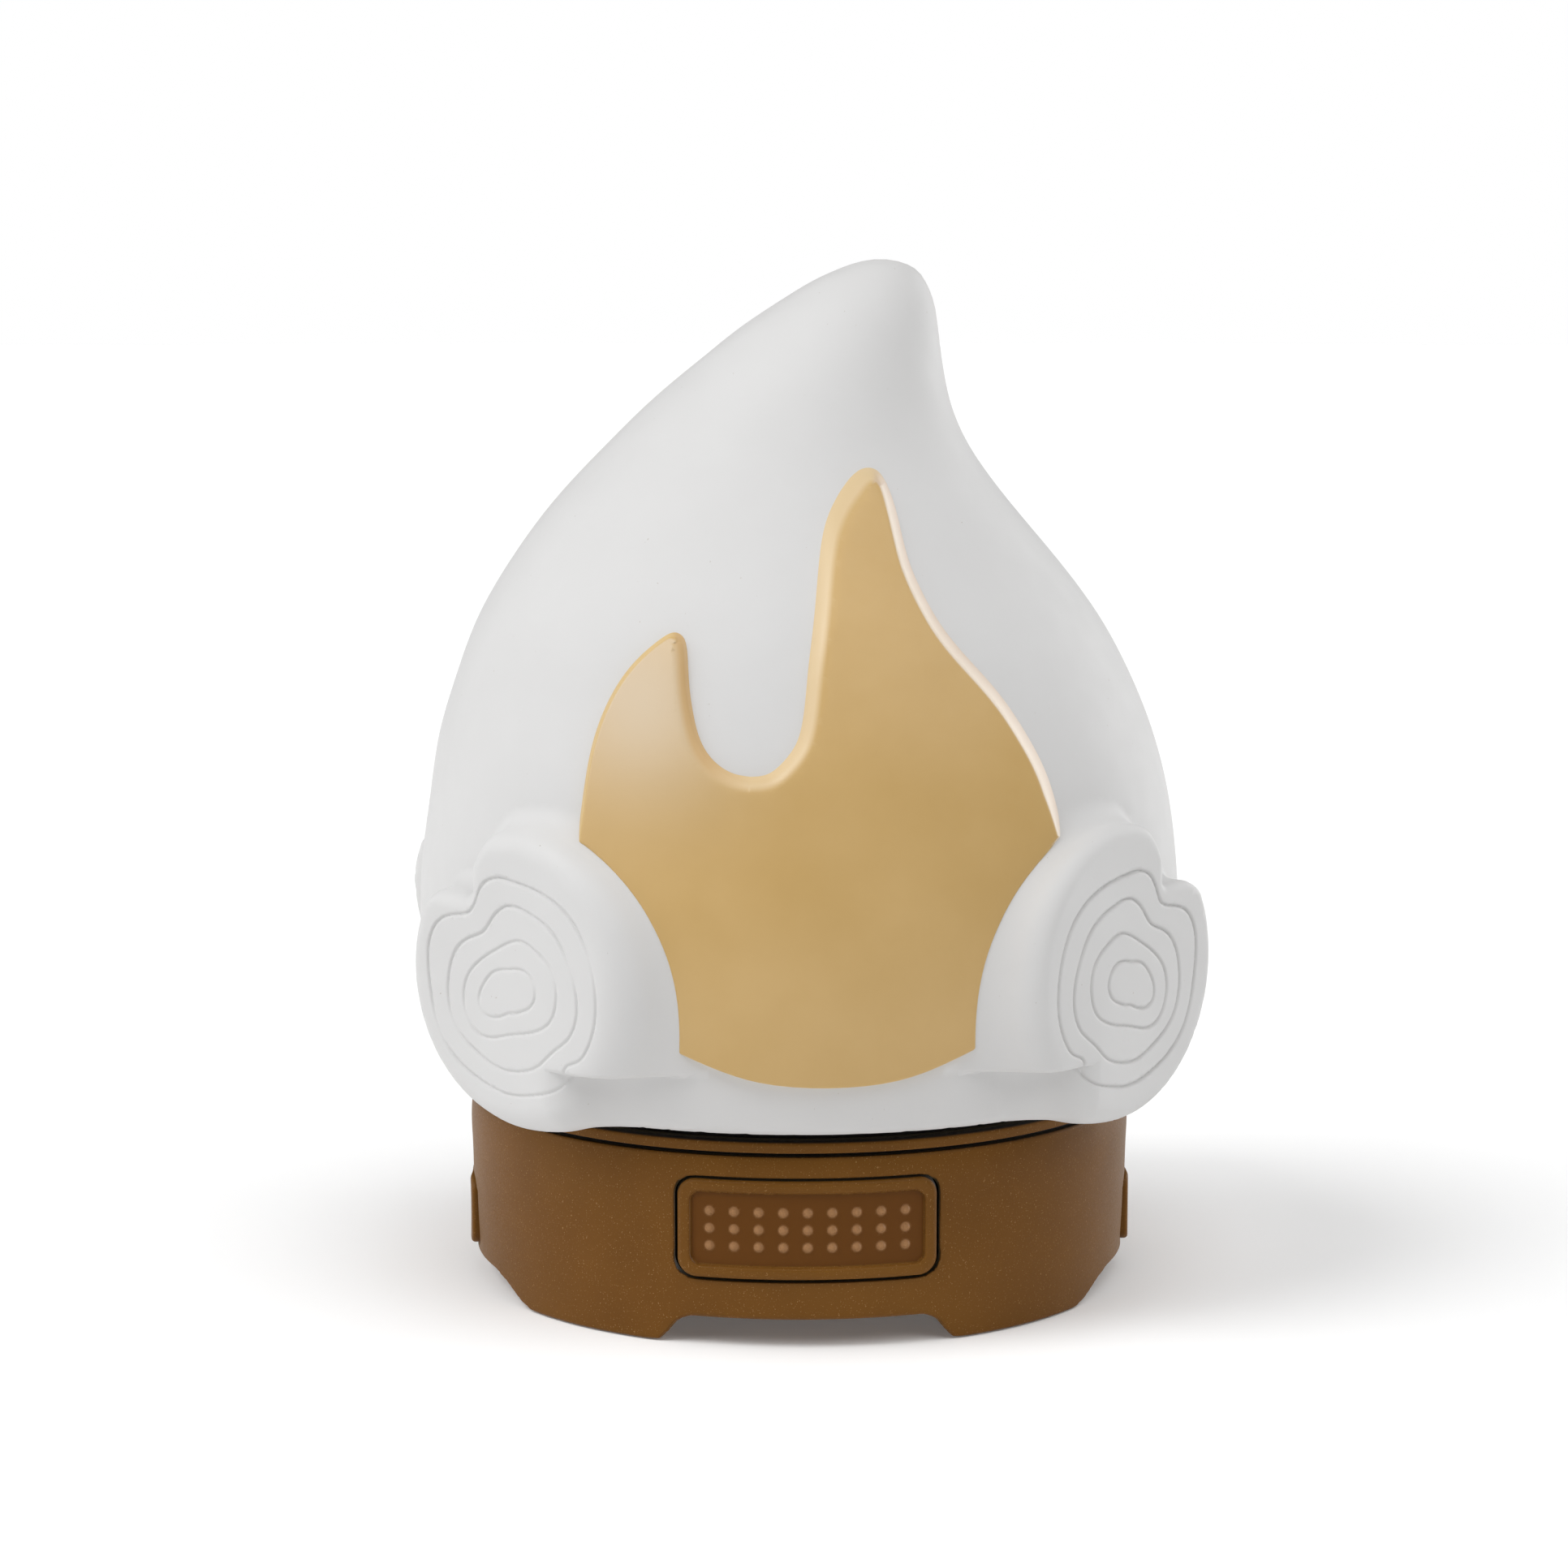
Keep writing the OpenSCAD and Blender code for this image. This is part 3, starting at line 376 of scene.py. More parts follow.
def detailed(shape, low, high, step, fineness, levels, place=None, wrap=False, even=2):
    """Mesh of a shape, whose quads are split up to levels times, until they are as fine as
    fineness(points) asks. low, high and step give the first grid, even how often it is evened out."""
    reach = float(np.min(step)) * 0.1
    vertices, quads = mesh_surface(shape, low, high, step, place, wrap)
    vertices = settle(shape, vertices, reach, 4)
    vertices = relax(shape, vertices, quads, reach, even)
    polygons, size = [], float(step[0] * high[1] if wrap else np.max(step))
    for _ in range(levels):
        pick = fineness(vertices[quads].mean(1)) < size * 0.75
        if not pick.any():
            break
        old = len(vertices)
        vertices, quads, polygons = refine(vertices, quads, polygons, pick)
        size /= 2
        vertices[old:] = settle(shape, vertices[old:], min(reach, size * 0.2), 3)
    normals = gradient(shape, vertices, min(reach, 0.06))
    normals /= np.maximum(np.linalg.norm(normals, axis=1), 1e-9)[:, None]
    return vertices, quads, polygons, normals


def make_piece(name, mesh, turn=0.0, values=None):
    """Blender object from a mesh in millimetres, turned about the upright axis. values are named
    numbers per vertex for its material."""
    vertices, quads, polygons, normals = mesh
    c, s = math.cos(turn), math.sin(turn)
    spin = np.array([[c, s, 0], [-s, c, 0], [0, 0, 1]])
    data = bpy.data.meshes.new(name)
    loops = np.concatenate([quads.ravel(), *[np.array(p) for p in polygons]]).astype(np.int32)
    sizes = np.concatenate([np.full(len(quads), 4), [len(p) for p in polygons]]).astype(np.int32)
    data.vertices.add(len(vertices))
    data.vertices.foreach_set("co", ((vertices @ spin) * MM).astype(np.float32).ravel())
    data.loops.add(len(loops))
    data.loops.foreach_set("vertex_index", loops)
    data.polygons.add(len(sizes))
    data.polygons.foreach_set("loop_start", np.concatenate([[0], np.cumsum(sizes)[:-1]]).astype(np.int32))
    data.polygons.foreach_set("use_smooth", np.ones(len(sizes), bool))
    data.update(calc_edges=True)
    data.normals_split_custom_set_from_vertices((normals @ spin).tolist())
    for key, numbers in (values or {}).items():
        layer = data.attributes.new(key, "FLOAT", "POINT")
        layer.data.foreach_set("value", numbers.astype(np.float32))
    piece = bpy.data.objects.new(name, data)
    bpy.context.scene.collection.objects.link(piece)
    return piece


# ------------------------------------------------------------------ ceramic cover

COVER_TURN = math.radians(2.8)
RIM_Z = 36.8            # lowest edge of the flame body
COVER_WALL = 4.0
FOOT_TOP = RIM_Z + 4
FOOT_RI = 51.4
BASE_R = 57.5
# Flame body: height, lean to the right, radius
BODY = [
    (36.8, 0, 61.9), (45, 0, 64.2), (55, 0, 65.7), (65, 0, 66.1), (75, 0, 65.5), (85, 0, 64.1),
    (95, -0.5, 62), (105, -1, 58.5), (115, -1.8, 53.9), (125, -2.6, 47.3), (135, -3.1, 39.4),
    (145, -2, 31.1), (153, 0.5, 25.3), (160, 4.1, 20.4), (165.5, 7.3, 16.5), (170, 10.3, 12.6),
    (173.2, 12.3, 9.1), (175.2, 13.6, 5.8), (176.5, 14, 0.3),
]
body_z, body_lean, body_r = np.array(BODY).T
LEAN = Curve(body_z, body_lean)
SQUARE = Curve(body_z, body_r ** 2)


def flame_body(p):
    """Distance to the flame body, by its squared radius, which stays smooth over the tip."""
    lean, lean_slope = LEAN.at(p[:, 2])
    square, square_slope = SQUARE.at(p[:, 2])
    u, y = p[:, 0] - lean, p[:, 1]
    level = u * u + y * y
    rise = -2 * u * lean_slope - square_slope
    return np.maximum((level - square) / np.sqrt(4 * level + rise * rise + 1e-6), -40)


LOG_R = 24.7
LOG_Z = 60.3
LOG_REACH, LOG_BACK = 70.5, 1.8
LOG_ANGLE = math.radians(45.5)
STEP_SIDE, STEP_LEVEL = 11.0, 13.5
# Growth rings round a point a little under the log's axis: angle from the flame's side, radius
RING_Z = -1.8
RINGS = [Curve(*np.array(points).T, period=360) for points in (
    [(8, 18.9), (45, 19), (90, 18.4), (113, 18.3), (128, 15.9), (147, 19.5), (180, 19.6), (-150, 19),
     (-120, 17.4), (-90, 16.9), (-70, 17), (-56, 17.5), (-46, 16.8), (-39, 16.4), (-32, 17.6), (-22, 18.5),
     (-8, 18.9)],
    [(0, 14.9), (25, 14.4), (50, 14.4), (75, 14.1), (95, 14.2), (110, 12.9), (125, 11.6), (150, 13.8),
     (175, 15), (-150, 15), (-130, 13.8), (-100, 13.1), (-80, 12.8), (-60, 12.8), (-45, 12.7), (-35, 13.2),
     (-26, 14.1), (-15, 14.8)],
    [(0, 10.4), (25, 10.5), (55, 9.4), (75, 9.1), (96, 8.2), (117, 7.7), (155, 9.2), (175, 10.8),
     (-160, 11.7), (-135, 10.9), (-114, 8.4), (-70, 6.8), (-38, 8.4), (-20, 9.8)],
    [(-5, 5.5), (28, 5.7), (57, 4.9), (100, 3.9), (150, 5.4), (172, 6.5), (-166, 7.9), (-150, 7.8),
     (-132, 6), (-110, 3.9), (-75, 3.3), (-40, 3.9)],
)]
GROOVE_DEPTH, GROOVE_HALF_W = 0.5, 0.28
FILLED_AT, FILLED_SPREAD = (22, 205), 9.0  # degrees round the rings


def log_frame(p):
    """Coordinates along, across (positive to the flame's side) and above the axis of the nearest log.
    The logs are alike but for mirroring, so all four fold onto one."""
    x, y = np.abs(p[:, 0]), np.abs(p[:, 1])
    s, c = math.sin(LOG_ANGLE), math.cos(LOG_ANGLE)
    return x * s + y * c, y * s - x * c, p[:, 2] - LOG_Z


def ring_distance(b, c):
    """Distance on a log's end to the nearest growth ring, and the angle round the rings."""
    radius = np.hypot(b, c - RING_Z)
    angle = np.degrees(np.arctan2(c - RING_Z, b))
    best = np.full(radius.shape, 1e9)
    for ring in RINGS:
        r, slope = ring.at(angle)
        tilt = np.degrees(slope) / np.maximum(r, 1)
        best = np.minimum(best, np.abs(radius - r) / np.sqrt(1 + tilt * tilt))
    return best, angle


def groove(p, b, c):
    """Depth of the growth rings, a little less on the left. The glaze fills them along a slanting band,
    mostly on two of the logs."""
    distance, angle = ring_distance(b, c)
    filled = np.where(p[:, 0] * p[:, 1] > 0, 1.0, 0.25)
    off = [(angle - middle + 180) % 360 - 180 for middle in FILLED_AT]
    fade = sum(np.exp(-(turn / FILLED_SPREAD) ** 2 / 2) for turn in off)
    depth = GROOVE_DEPTH * np.where(p[:, 0] > 0, 1, 0.8)
    return depth * np.exp(-(distance / GROOVE_HALF_W) ** 2) * (1 - 0.8 * filled * np.minimum(fade, 1))


def log_outline(b, c):
    """Distance across a log to its outline, with a step at the outer top, its edge rounder higher up."""
    step = both(STEP_SIDE + b, STEP_LEVEL - c, 0.7)
    return less(np.hypot(b, c) - LOG_R, step, 3.5 + 2.5 * np.clip((c - 16) / 3, 0, 1))


def log_cap(p, a, b, c):
    """Distance beyond a log's end face, whose upper part reaches further out on the back logs, and the
    rounding of its edge, widest on the flame's side and on the front left log."""
    angle = np.arctan2(c, b) + math.pi / 4
    back = p[:, 1] > 0
    edge = 2.7 + 1.5 * ((p[:, 0] < 0) & ~back) + 0.9 * np.cos(angle) + 0.7 * np.sin(angle)
    cap = a - LOG_REACH - LOG_BACK * back * np.clip((c + 3) / 8, 0, 1)
    near = (cap > -3) & (np.hypot(b, c) < 22)
    cap[near] += groove(p[near], b[near], c[near])
    return cap, edge


def log_fillet(b, c):
    """Fillet between logs and body, wider towards the gold flame's foot, tight on the outer side."""
    flame_side = 8.4 - 0.19 * np.clip(c, -12, 22)
    outer_side = 6.5 - 3 * np.clip(c / 12, 0, 1)
    return outer_side + (flame_side - outer_side) * np.clip(b / 16 + 0.5, 0, 1)


OUTLET_Z, OUTLET_LENGTH = 148, 8.5
OUTLET_R, OUTLET_TIP_R = 5, 2.5


def outlet(p):
    """Drop-shaped mist outlet through the back of the tip."""
    x, z = p[:, 0], p[:, 2] - OUTLET_Z
    along = np.clip(z / OUTLET_LENGTH, 0, 1)
    radius = OUTLET_R - (OUTLET_R - OUTLET_TIP_R) * along
    drop = np.hypot(x, z - OUTLET_LENGTH * along) - radius
    return np.maximum(drop, 10 - p[:, 1])


def cover_shape(p):
    """Flame with its logs. Each log steps back below a ledge at its inner bottom."""
    z, level = p[:, 2], np.hypot(p[:, 0], p[:, 1])
    body = flame_body(p)
    a, b, c = log_frame(p)
    cap, edge = log_cap(p, a, b, c)
    fillet = log_fillet(b, c)
    upper = log_outline(b, c)
    lower = both(upper, b - STEP_SIDE, 3.0)
    outside = either(body, both(lower, cap, edge), fillet)
    outside = np.minimum(outside, both(either(body, both(upper, cap, edge), fillet), -STEP_LEVEL - c, 0.8))
    outside = both(outside, either(RIM_Z - z, lower, 3.0), 1.3)
    outside = less(outside, np.maximum(level - BASE_R - 2, z - RIM_Z), 1.0)
    hollow = both(body + COVER_WALL, FOOT_TOP - z, 2.0)
    hollow = np.minimum(hollow, np.maximum(level - FOOT_RI, z - FOOT_TOP - 2))
    return less(less(outside, hollow, 0.9), outlet(p), 1.3)


def cover_fineness(p):
    """Finest quads in the growth rings, fine ones on the rims of the logs and of the openings."""
    a, b, c = log_frame(p)
    across = np.hypot(b, c)
    outward = flame_body(p) > -1
    size = np.where(outward & (a > 44) & (across < 31), 1.0, 2.0)
    opening = np.abs(outlet(p))
    size = np.where(opening < 3, 1.0, size)
    size = np.where(opening < 1.8, 0.5, size)
    size = np.where((p[:, 2] < FOOT_TOP) & (np.hypot(p[:, 0], p[:, 1]) > 50), 1.0, size)
    steps = np.minimum(np.hypot(b + STEP_SIDE, c - STEP_LEVEL), np.hypot(b - STEP_SIDE, c + STEP_LEVEL))
    size = np.where((a > 60) & (across < 27) & (across > 16) & (steps < 7.5), 0.5, size)
    size = np.where(outward & (a > 54) & (b > 8) & (b < 24) & (np.abs(c + STEP_LEVEL) < 2), 0.5, size)
    face = (a > LOG_REACH - 1) & (across < 23) & (a < LOG_REACH + LOG_BACK + 1)
    distance = np.full(len(p), 9.0)
    distance[face] = ring_distance(b[face], c[face])[0]
    size = np.where(distance < 1.2, 0.5, size)
    return np.where(distance < 0.6, 0.25, size)


# ------------------------------------------------------------------ gold flame on the cover

RELIEF, RELIEF_SUNK = 1.8, 2.5  # above the body's surface, and below it
# Outline seen from the front, x and height, clockwise from the left corner over the short tongue to the
# bottom between the tongues
SHORT_TONGUE = [
    (-39.7, 83.6), (-39, 88.6), (-38, 95), (-36.4, 101.3), (-33.5, 107.7), (-30.4, 112), (-27.6, 114.7),
    (-25.2, 116.5), (-23.6, 117.1), (-22.4, 116.5), (-21.8, 114.6), (-21.6, 109.5), (-21, 104.5),
    (-19.9, 100.4), (-17.8, 97.4), (-15, 95.7), (-12.2, 95.2),
]
TALL_TONGUE = [
    (-12.2, 95.2), (-9.4, 95.7), (-6.6, 98), (-4.6, 101), (-3.4, 106), (-2.6, 112), (-1.6, 118),
    (-0.7, 124), (0.1, 129), (1.1, 133.2), (2.7, 136.7), (4.8, 139.7), (7, 141.8), (9, 142.5),
    (10.8, 141.9), (12.1, 140),
]
RIGHT_SIDE = [
    (12.1, 140), (13.1, 137), (14, 132.3), (15, 127.6), (16.8, 123), (19.4, 118.2), (22.6, 114),
    (26.3, 109.9), (30, 105.4), (33.2, 100.5), (35.9, 95.5), (37.9, 90), (39.4, 83.6),
]
LOG_SIDE = [
    (39.4, 83.6), (36.2, 81.2), (31.8, 76.7), (28.8, 72.3), (26, 66.2), (24.6, 60.2), (24.2, 55.6),
    (24.1, 50.7),
]
FOOT = [(24.1, 50.7), (18.5, 48.4), (11.2, 46.2), (0, 45.3), (-11.2, 46.2), (-18.5, 48.4), (-24.1, 50.7)]


def through(points, steps=8):
    """Points on a smooth line through the given ones, without the last one."""
    points = np.array(points, float)
    length = np.concatenate([[0], np.cumsum(np.sqrt(np.linalg.norm(np.diff(points, axis=0), axis=1)))])
    q = np.interp(np.arange(0, len(points) - 1, 1 / steps), np.arange(len(points)), length)
    return np.stack([Curve(length, points[:, k]).at(q)[0] for k in (0, 1)], 1)


FLAME_PARTS = [through(SHORT_TONGUE), through(TALL_TONGUE), through(RIGHT_SIDE), through(LOG_SIDE, 4),
               through(FOOT, 4), through([(-x, z) for x, z in reversed(LOG_SIDE)], 4)]
FLAME_OUTLINE = np.concatenate(FLAME_PARTS)


def along(stops):
    """Value at each point of the outline, from places (0 to 1) and numbers for each of its parts."""
    values = []
    for part, (places, numbers) in zip(FLAME_PARTS, stops):
        values.append(np.interp(np.linspace(0, 1, len(part), endpoint=False), places, numbers))
    return np.concatenate(values)


NARROW, LINE = ([0, 1], [0.3, 0.3]), ([0, 1], [0, 0])
# Width of the sloped edge, broad on the inner side of the tall tongue
EDGE_WIDTH = along([
    ([0, 0.45, 0.55, 0.75, 1], [0.3, 0.3, 1.2, 1.3, 1.3]),
    ([0, 0.2, 0.5, 0.75, 0.92, 1], [1.2, 1.35, 1.7, 2.1, 1.5, 1.3]),
    ([0, 0.1, 0.9, 1], [1.3, 1.6, 1.7, 1.0]),
    ([0, 0.15, 1], [1.0, 0.3, 0.3]),
    NARROW,
    NARROW,
])
# Colour of that edge: 0 a thin yellow line, 1 dark gold, 2 cream on the walls that face left and up,
# lighter glaze with painted light on it, 3 white along the right side, an unglazed rim made paler still by
# painted light
EDGE_TONE = along([
    ([0, 0.45, 0.52, 0.85, 1], [0, 0, 1, 1, 1.8]),
    ([0, 0.9, 1], [1.8, 2, 3]),
    ([0, 1], [3, 3]),
    ([0, 0.08, 0.1, 1], [3, 3, 0, 0]),
    LINE,
    LINE,
])


def flame_edge(p, values=EDGE_WIDTH):
    """Distance inwards from the gold flame's outline, seen from the front, and a value of its edge."""
    line, value = outline_distance(p[:, 0], p[:, 2], FLAME_OUTLINE, values)
    return -line, value


def flame_shape(p):
    """Relief that follows the body behind a sloped edge and is sunk into it at the back."""
    body = flame_body(p)
    inward, width = flame_edge(p)
    wall = (body * width - inward * RELIEF) / np.hypot(width, RELIEF)
    soft = 0.4 + (np.clip(width * 0.9, 0.3, 1.6) - 0.4) * np.clip((11.5 - p[:, 0]) / 2, 0, 1)
    return np.maximum(both(both(body - RELIEF, wall, soft), -body - RELIEF_SUNK, 0.1), p[:, 1] + 20)


def flame_fineness(p):
    inward, width = flame_edge(p)
    proud = flame_body(p) > -0.8
    return np.where(proud & (inward > -0.7) & (inward < width + 1.2), 0.25, 1.0)


# ------------------------------------------------------------------ base housing

HOUSING = Curve([0.2, 7, 14, 24, 31.7, 33], [56.5, 56.9, 57.25, 57.5, 57.3, 57])
INSIDE = Curve([0, 7, 11, 12, 40], [53.7, 53.7, 55.2, 55.2, 55.2])
WALL_TOP, LIP_TOP, LIP_SET = 32.3, 32.7, 1.3
SKIRT_Z = 0.15
# Half width at the table, run per rise, height
ARCH_FRONT, ARCH_SIDE = (24.3, 0.82, 4.9), (31.3, 2.0, 4.45)
FRONT_W, FRONT_H, FRONT_Z = 42.4, 16.4, 20.1
SIDE_W, SIDE_H, SIDE_Z = 18.5, 11.4, 11.5
FRONT_CORNER, SIDE_CORNER = 3, 2.5
BUTTON_GAP, BUTTON_PROUD = 0.4, 0.5
INLET_Z, INLET_R = 12.7, 4.1
SHELF_Z, SHELF_HALF_H, SHELF_R, SHELF_HALF_W = 30.4, 0.6, 53.3, 2.3
CUT_FROM = 40  # openings are cut in the wall from this far out
FAR = 99


def front_outline(p, gap=0.0, in_from_edge=0.0, corner=FRONT_CORNER):
    """Distance, seen from the front, to the front button's outline."""
    half_w, half_h = FRONT_W / 2 + gap - in_from_edge, FRONT_H / 2 + gap - in_from_edge
    return slab(p[:, 0], p[:, 2] - FRONT_Z, half_w, half_h, corner + gap)


def side_outline(p, gap=0.0):
    """Distance, seen from the side, to a side button's outline."""
    return slab(p[:, 1], p[:, 2] - SIDE_Z, SIDE_W / 2 + gap, SIDE_H / 2 + gap, SIDE_CORNER + gap)


def arch(u, z, size):
    """Distance to an arched opening at the foot of the wall."""
    half_w, run, height = size
    return both(z - height, (np.abs(u) - half_w + run * z) / math.hypot(1, run), 1.3)


def housing_shape(p):
    """Wall with a lip, a shelf inside, arches at its foot and openings for the buttons and the inlet."""
    x, y, z = p.T
    level = np.hypot(x, y)
    outer = both(level - HOUSING.at(z)[0], z - WALL_TOP, 0.6)
    outer = np.minimum(outer, np.maximum(level - (BASE_R - LIP_SET), z - LIP_TOP))
    outer = both(outer, SKIRT_Z - z, 0.5)
    inner = level - INSIDE.at(z)[0]
    shape = less(outer, inner, 0.3)
    shelf = np.maximum(np.abs(z - SHELF_Z) - SHELF_HALF_H, np.abs(level - SHELF_R) - SHELF_HALF_W)
    shape = np.minimum(shape, shelf)
    shape = less(less(shape, arch(x, z, ARCH_FRONT), 0.7), arch(y, z, ARCH_SIDE), 0.7)
    front = np.maximum(front_outline(p, BUTTON_GAP), y + CUT_FROM)
    side = np.maximum(side_outline(p, BUTTON_GAP), CUT_FROM - np.abs(x))
    inlet = np.maximum(np.hypot(x, z - INLET_Z) - INLET_R, CUT_FROM - y)
    return less(shape, np.minimum(np.minimum(front, side), inlet), 0.3)


def housing_fineness(p):
    x, y, z = p.T
    outside = np.hypot(x, y) > 54.5
    front = np.where(y < -CUT_FROM, front_outline(p), FAR)
    side = np.where(np.abs(x) > CUT_FROM, side_outline(p), FAR)
    inlet = np.where(y > CUT_FROM, np.hypot(x, z - INLET_Z) - INLET_R, FAR)
    holes = np.minimum(np.minimum(np.abs(front), np.abs(side)), np.abs(inlet))
    arches = np.minimum(np.abs(arch(x, z, ARCH_FRONT)), np.abs(arch(y, z, ARCH_SIDE)))
    ends = np.minimum(np.abs(z - WALL_TOP), np.abs(z - SKIRT_Z))
    size = np.where(np.minimum(holes, arches) < 2.5, 0.8, 1.6)
    size = np.where(outside & (np.minimum(np.minimum(holes, arches), ends) < 1.1), 0.4, size)
    return size


def round_housing(q):
    """Grid round the upright axis: angle, radius, height."""
    return np.stack([q[:, 1] * np.cos(q[:, 0]), q[:, 1] * np.sin(q[:, 0]), q[:, 2]], 1)


# ------------------------------------------------------------------ buttons

FACE_R = BASE_R + BUTTON_PROUD
PANEL_DEPTH, PANEL_RIM, PANEL_CORNER = 0.8, 2.0, 1.8
BUMP_R, BUMP_COLS, BUMP_ROWS, BUMP_ROW_PITCH = 0.66, 9, 3, 2.9
BUMP_PITCH = (FRONT_W - 2 * PANEL_RIM - 6.4) / (BUMP_COLS - 1)
FLANGE_W, FLANGE_T = 1.6, 0.9  # past the button on each side, and its thickness behind the wall
FRONT_BACK_R, SIDE_BACK_R = 54.1, 52.6
HOLLOW_R, HOLLOW_OUT = 28.3, 28  # ball that hollows a side button, its middle outside the base


def panel_outline(p):
    """Distance, seen from the front, to the sunk panel of the front button."""
    return front_outline(p, 0, PANEL_RIM, PANEL_CORNER)


def bumps(p):
    """Distance to the nearest of the round bumps in the front button's panel."""
    x, y, z = p.T
    col = np.clip(np.round(x / BUMP_PITCH), -(BUMP_COLS // 2), BUMP_COLS // 2)
    row = np.clip(np.round((z - FRONT_Z) / BUMP_ROW_PITCH), -(BUMP_ROWS // 2), BUMP_ROWS // 2)
    floor_r = FACE_R - PANEL_DEPTH
    bx = col * BUMP_PITCH
    by = -np.sqrt(floor_r ** 2 - bx ** 2) + 0.1
    return np.sqrt((x - bx) ** 2 + (y - by) ** 2 + (z - FRONT_Z - row * BUMP_ROW_PITCH) ** 2) - BUMP_R


def front_button_shape(p):
    """Front button with bumps in its sunk panel."""
    x, y, z = p.T
    level = np.hypot(x, y)
    body = both(front_outline(p), level - FACE_R, 0.7)
    body = less(body, np.maximum(panel_outline(p), FACE_R - PANEL_DEPTH - level), 0.5)
    body = either(body, bumps(p), 0.12)
    flange = slab(x, z - FRONT_Z, FRONT_W / 2 + FLANGE_W, FRONT_H / 2, 2)
    flange = np.maximum(flange, level - (FRONT_BACK_R + FLANGE_T))
    return np.maximum(np.minimum(body, flange), FRONT_BACK_R - level)


def front_button_fineness(p):
    front = np.hypot(p[:, 0], p[:, 1]) > 55.3
    edges = np.minimum(np.abs(panel_outline(p)), np.abs(front_outline(p)))
    size = np.where(front & (edges < 1.2), 0.25, 1.0)
    near = bumps(p)
    size = np.where(front & (near < 0.5), 0.25, size)
    return np.where(front & (near < 0.25), 0.12, size)


def side_button_shape(p):
    """Right-hand button; the left one is the same, half a turn round."""
    x, y, z = p.T
    level = np.hypot(x, y)
    body = both(side_outline(p), level - FACE_R, 0.6)
    hollow = np.sqrt((x - BASE_R - HOLLOW_OUT) ** 2 + y ** 2 + (z - SIDE_Z) ** 2) - HOLLOW_R
    body = less(body, hollow, 0.4)
    flange = slab(y, z - SIDE_Z, SIDE_W / 2 + FLANGE_W, SIDE_H / 2, 2)
    flange = np.maximum(flange, level - (SIDE_BACK_R + FLANGE_T))
    return np.maximum(np.minimum(body, flange), SIDE_BACK_R - level)


def side_button_fineness(p):
    outside = np.hypot(p[:, 0], p[:, 1]) > 55
    return np.where(outside & (np.abs(side_outline(p)) < 1.2), 0.25, 1.0)


# ------------------------------------------------------------------ top ring

RING_RO = BASE_R - 0.4
RING_RI = RING_RO - 6.7
SHOULDER_Z, SEAT_Z, SEAT_RO = 34.9, 36.5, RING_RO - 2.6
SEAM_Z = (WALL_TOP + LIP_TOP) / 2
ABOVE_ARCHES = SKIRT_Z + 5.2


def top_ring_shape(p):
    """Ring with a low shoulder on the outside and a higher seat for the cover inside it."""
    level, z = np.hypot(p[:, 0], p[:, 1]), p[:, 2]
    low = both(np.maximum(level - RING_RO, LIP_TOP - z), z - SHOULDER_Z, 0.9)
    low = both(low, LIP_TOP - z, 0.25)
    high = both(level - SEAT_RO, z - SEAT_Z, 0.5)
    high = np.maximum(high, LIP_TOP - z)
    return less(either(low, high, 0.35), level - RING_RI, 0.4)


def top_ring_fineness(p):
    level, z = np.hypot(p[:, 0], p[:, 1]), p[:, 2]
    return np.where((z > 33.8) & (z < 35.5) & (level > RING_RO - 2), 0.8, 9.0)


def gap(p):
    """1 where shade is painted on the walls of the gaps between the base's pieces and under the cover's
    rim, which light hardly reaches; also 1 on the inside of the wall above the arches.
    """
    level, z = np.hypot(p[:, 0], p[:, 1]), p[:, 2]
    depth = np.where(z < WALL_TOP, HOUSING.at(z)[0] - level, 0)
    dark = np.clip((depth - 0.3) / 0.2, 0, 1) * (z > ABOVE_ARCHES)
    dark = np.maximum(dark, np.clip((0.38 - np.abs(z - SEAM_Z)) / 0.1, 0, 1))
    return np.maximum(dark, np.clip((z - SHOULDER_Z + 0.5) / 0.25, 0, 1) * (level > SEAT_RO - 0.6))


# ------------------------------------------------------------------ the pieces

FULL_TURN = 2 * math.pi


def make_cover():
    levels = 3
    mesh = detailed(cover_shape, (-70, -70, 33), (70, 70, 179), 2.0, cover_fineness, levels)
    p = mesh[0]
    a, b, c = log_frame(p)
    on_face = (a > LOG_REACH - 1) & (np.hypot(b, c) < 22)
    # Painted shade in the growth rings: strong on the right-hand logs, faint on the left ones
    depth = groove(p, b, c) / GROOVE_DEPTH
    painted_groove_shade = on_face * depth * np.where(p[:, 0] > 0, 1, 0.15)
    return make_piece("ceramic_flame_cover", mesh, COVER_TURN, {"groove": painted_groove_shade})


def make_flame():
    mesh = detailed(flame_shape, (-44, -70, 42), (44, -20, 146), 1.0, flame_fineness, 2)
    x, _, z = mesh[0].T
    inward, width = flame_edge(mesh[0])
    # Edge colours; the cream and white ones carry painted light, as EDGE_TONE lists
    tone = flame_edge(mesh[0], EDGE_TONE)[1]
    fade = np.where(tone > 2.6, 0.25, np.clip(width - 0.2, 0.1, 1.0))
    highlight_x, highlight_z, highlight_r = -29, 107, 15  # painted highlight: pale patch on the short tongue where the left light reflects
    return make_piece("gold_flame_relief", mesh, COVER_TURN, {
        "edge": np.clip((width + fade - inward) / fade, 0, 1),
        "edge_tone": tone + (tone > 2.9) * np.clip(inward / width, 0, 1),
        "haze": 0.7 * np.exp(-((x - highlight_x) / highlight_r) ** 2 - ((z - highlight_z) / highlight_r) ** 2)})


def make_housing():
    mesh = detailed(housing_shape, (0, 48.9, -0.3), (FULL_TURN, 59.1, 34.2), (FULL_TURN / 240, 0.6, 0.75),
                    housing_fineness, 2, round_housing, True)
    return make_piece("base_housing", mesh, 0, {"gap": gap(mesh[0])})


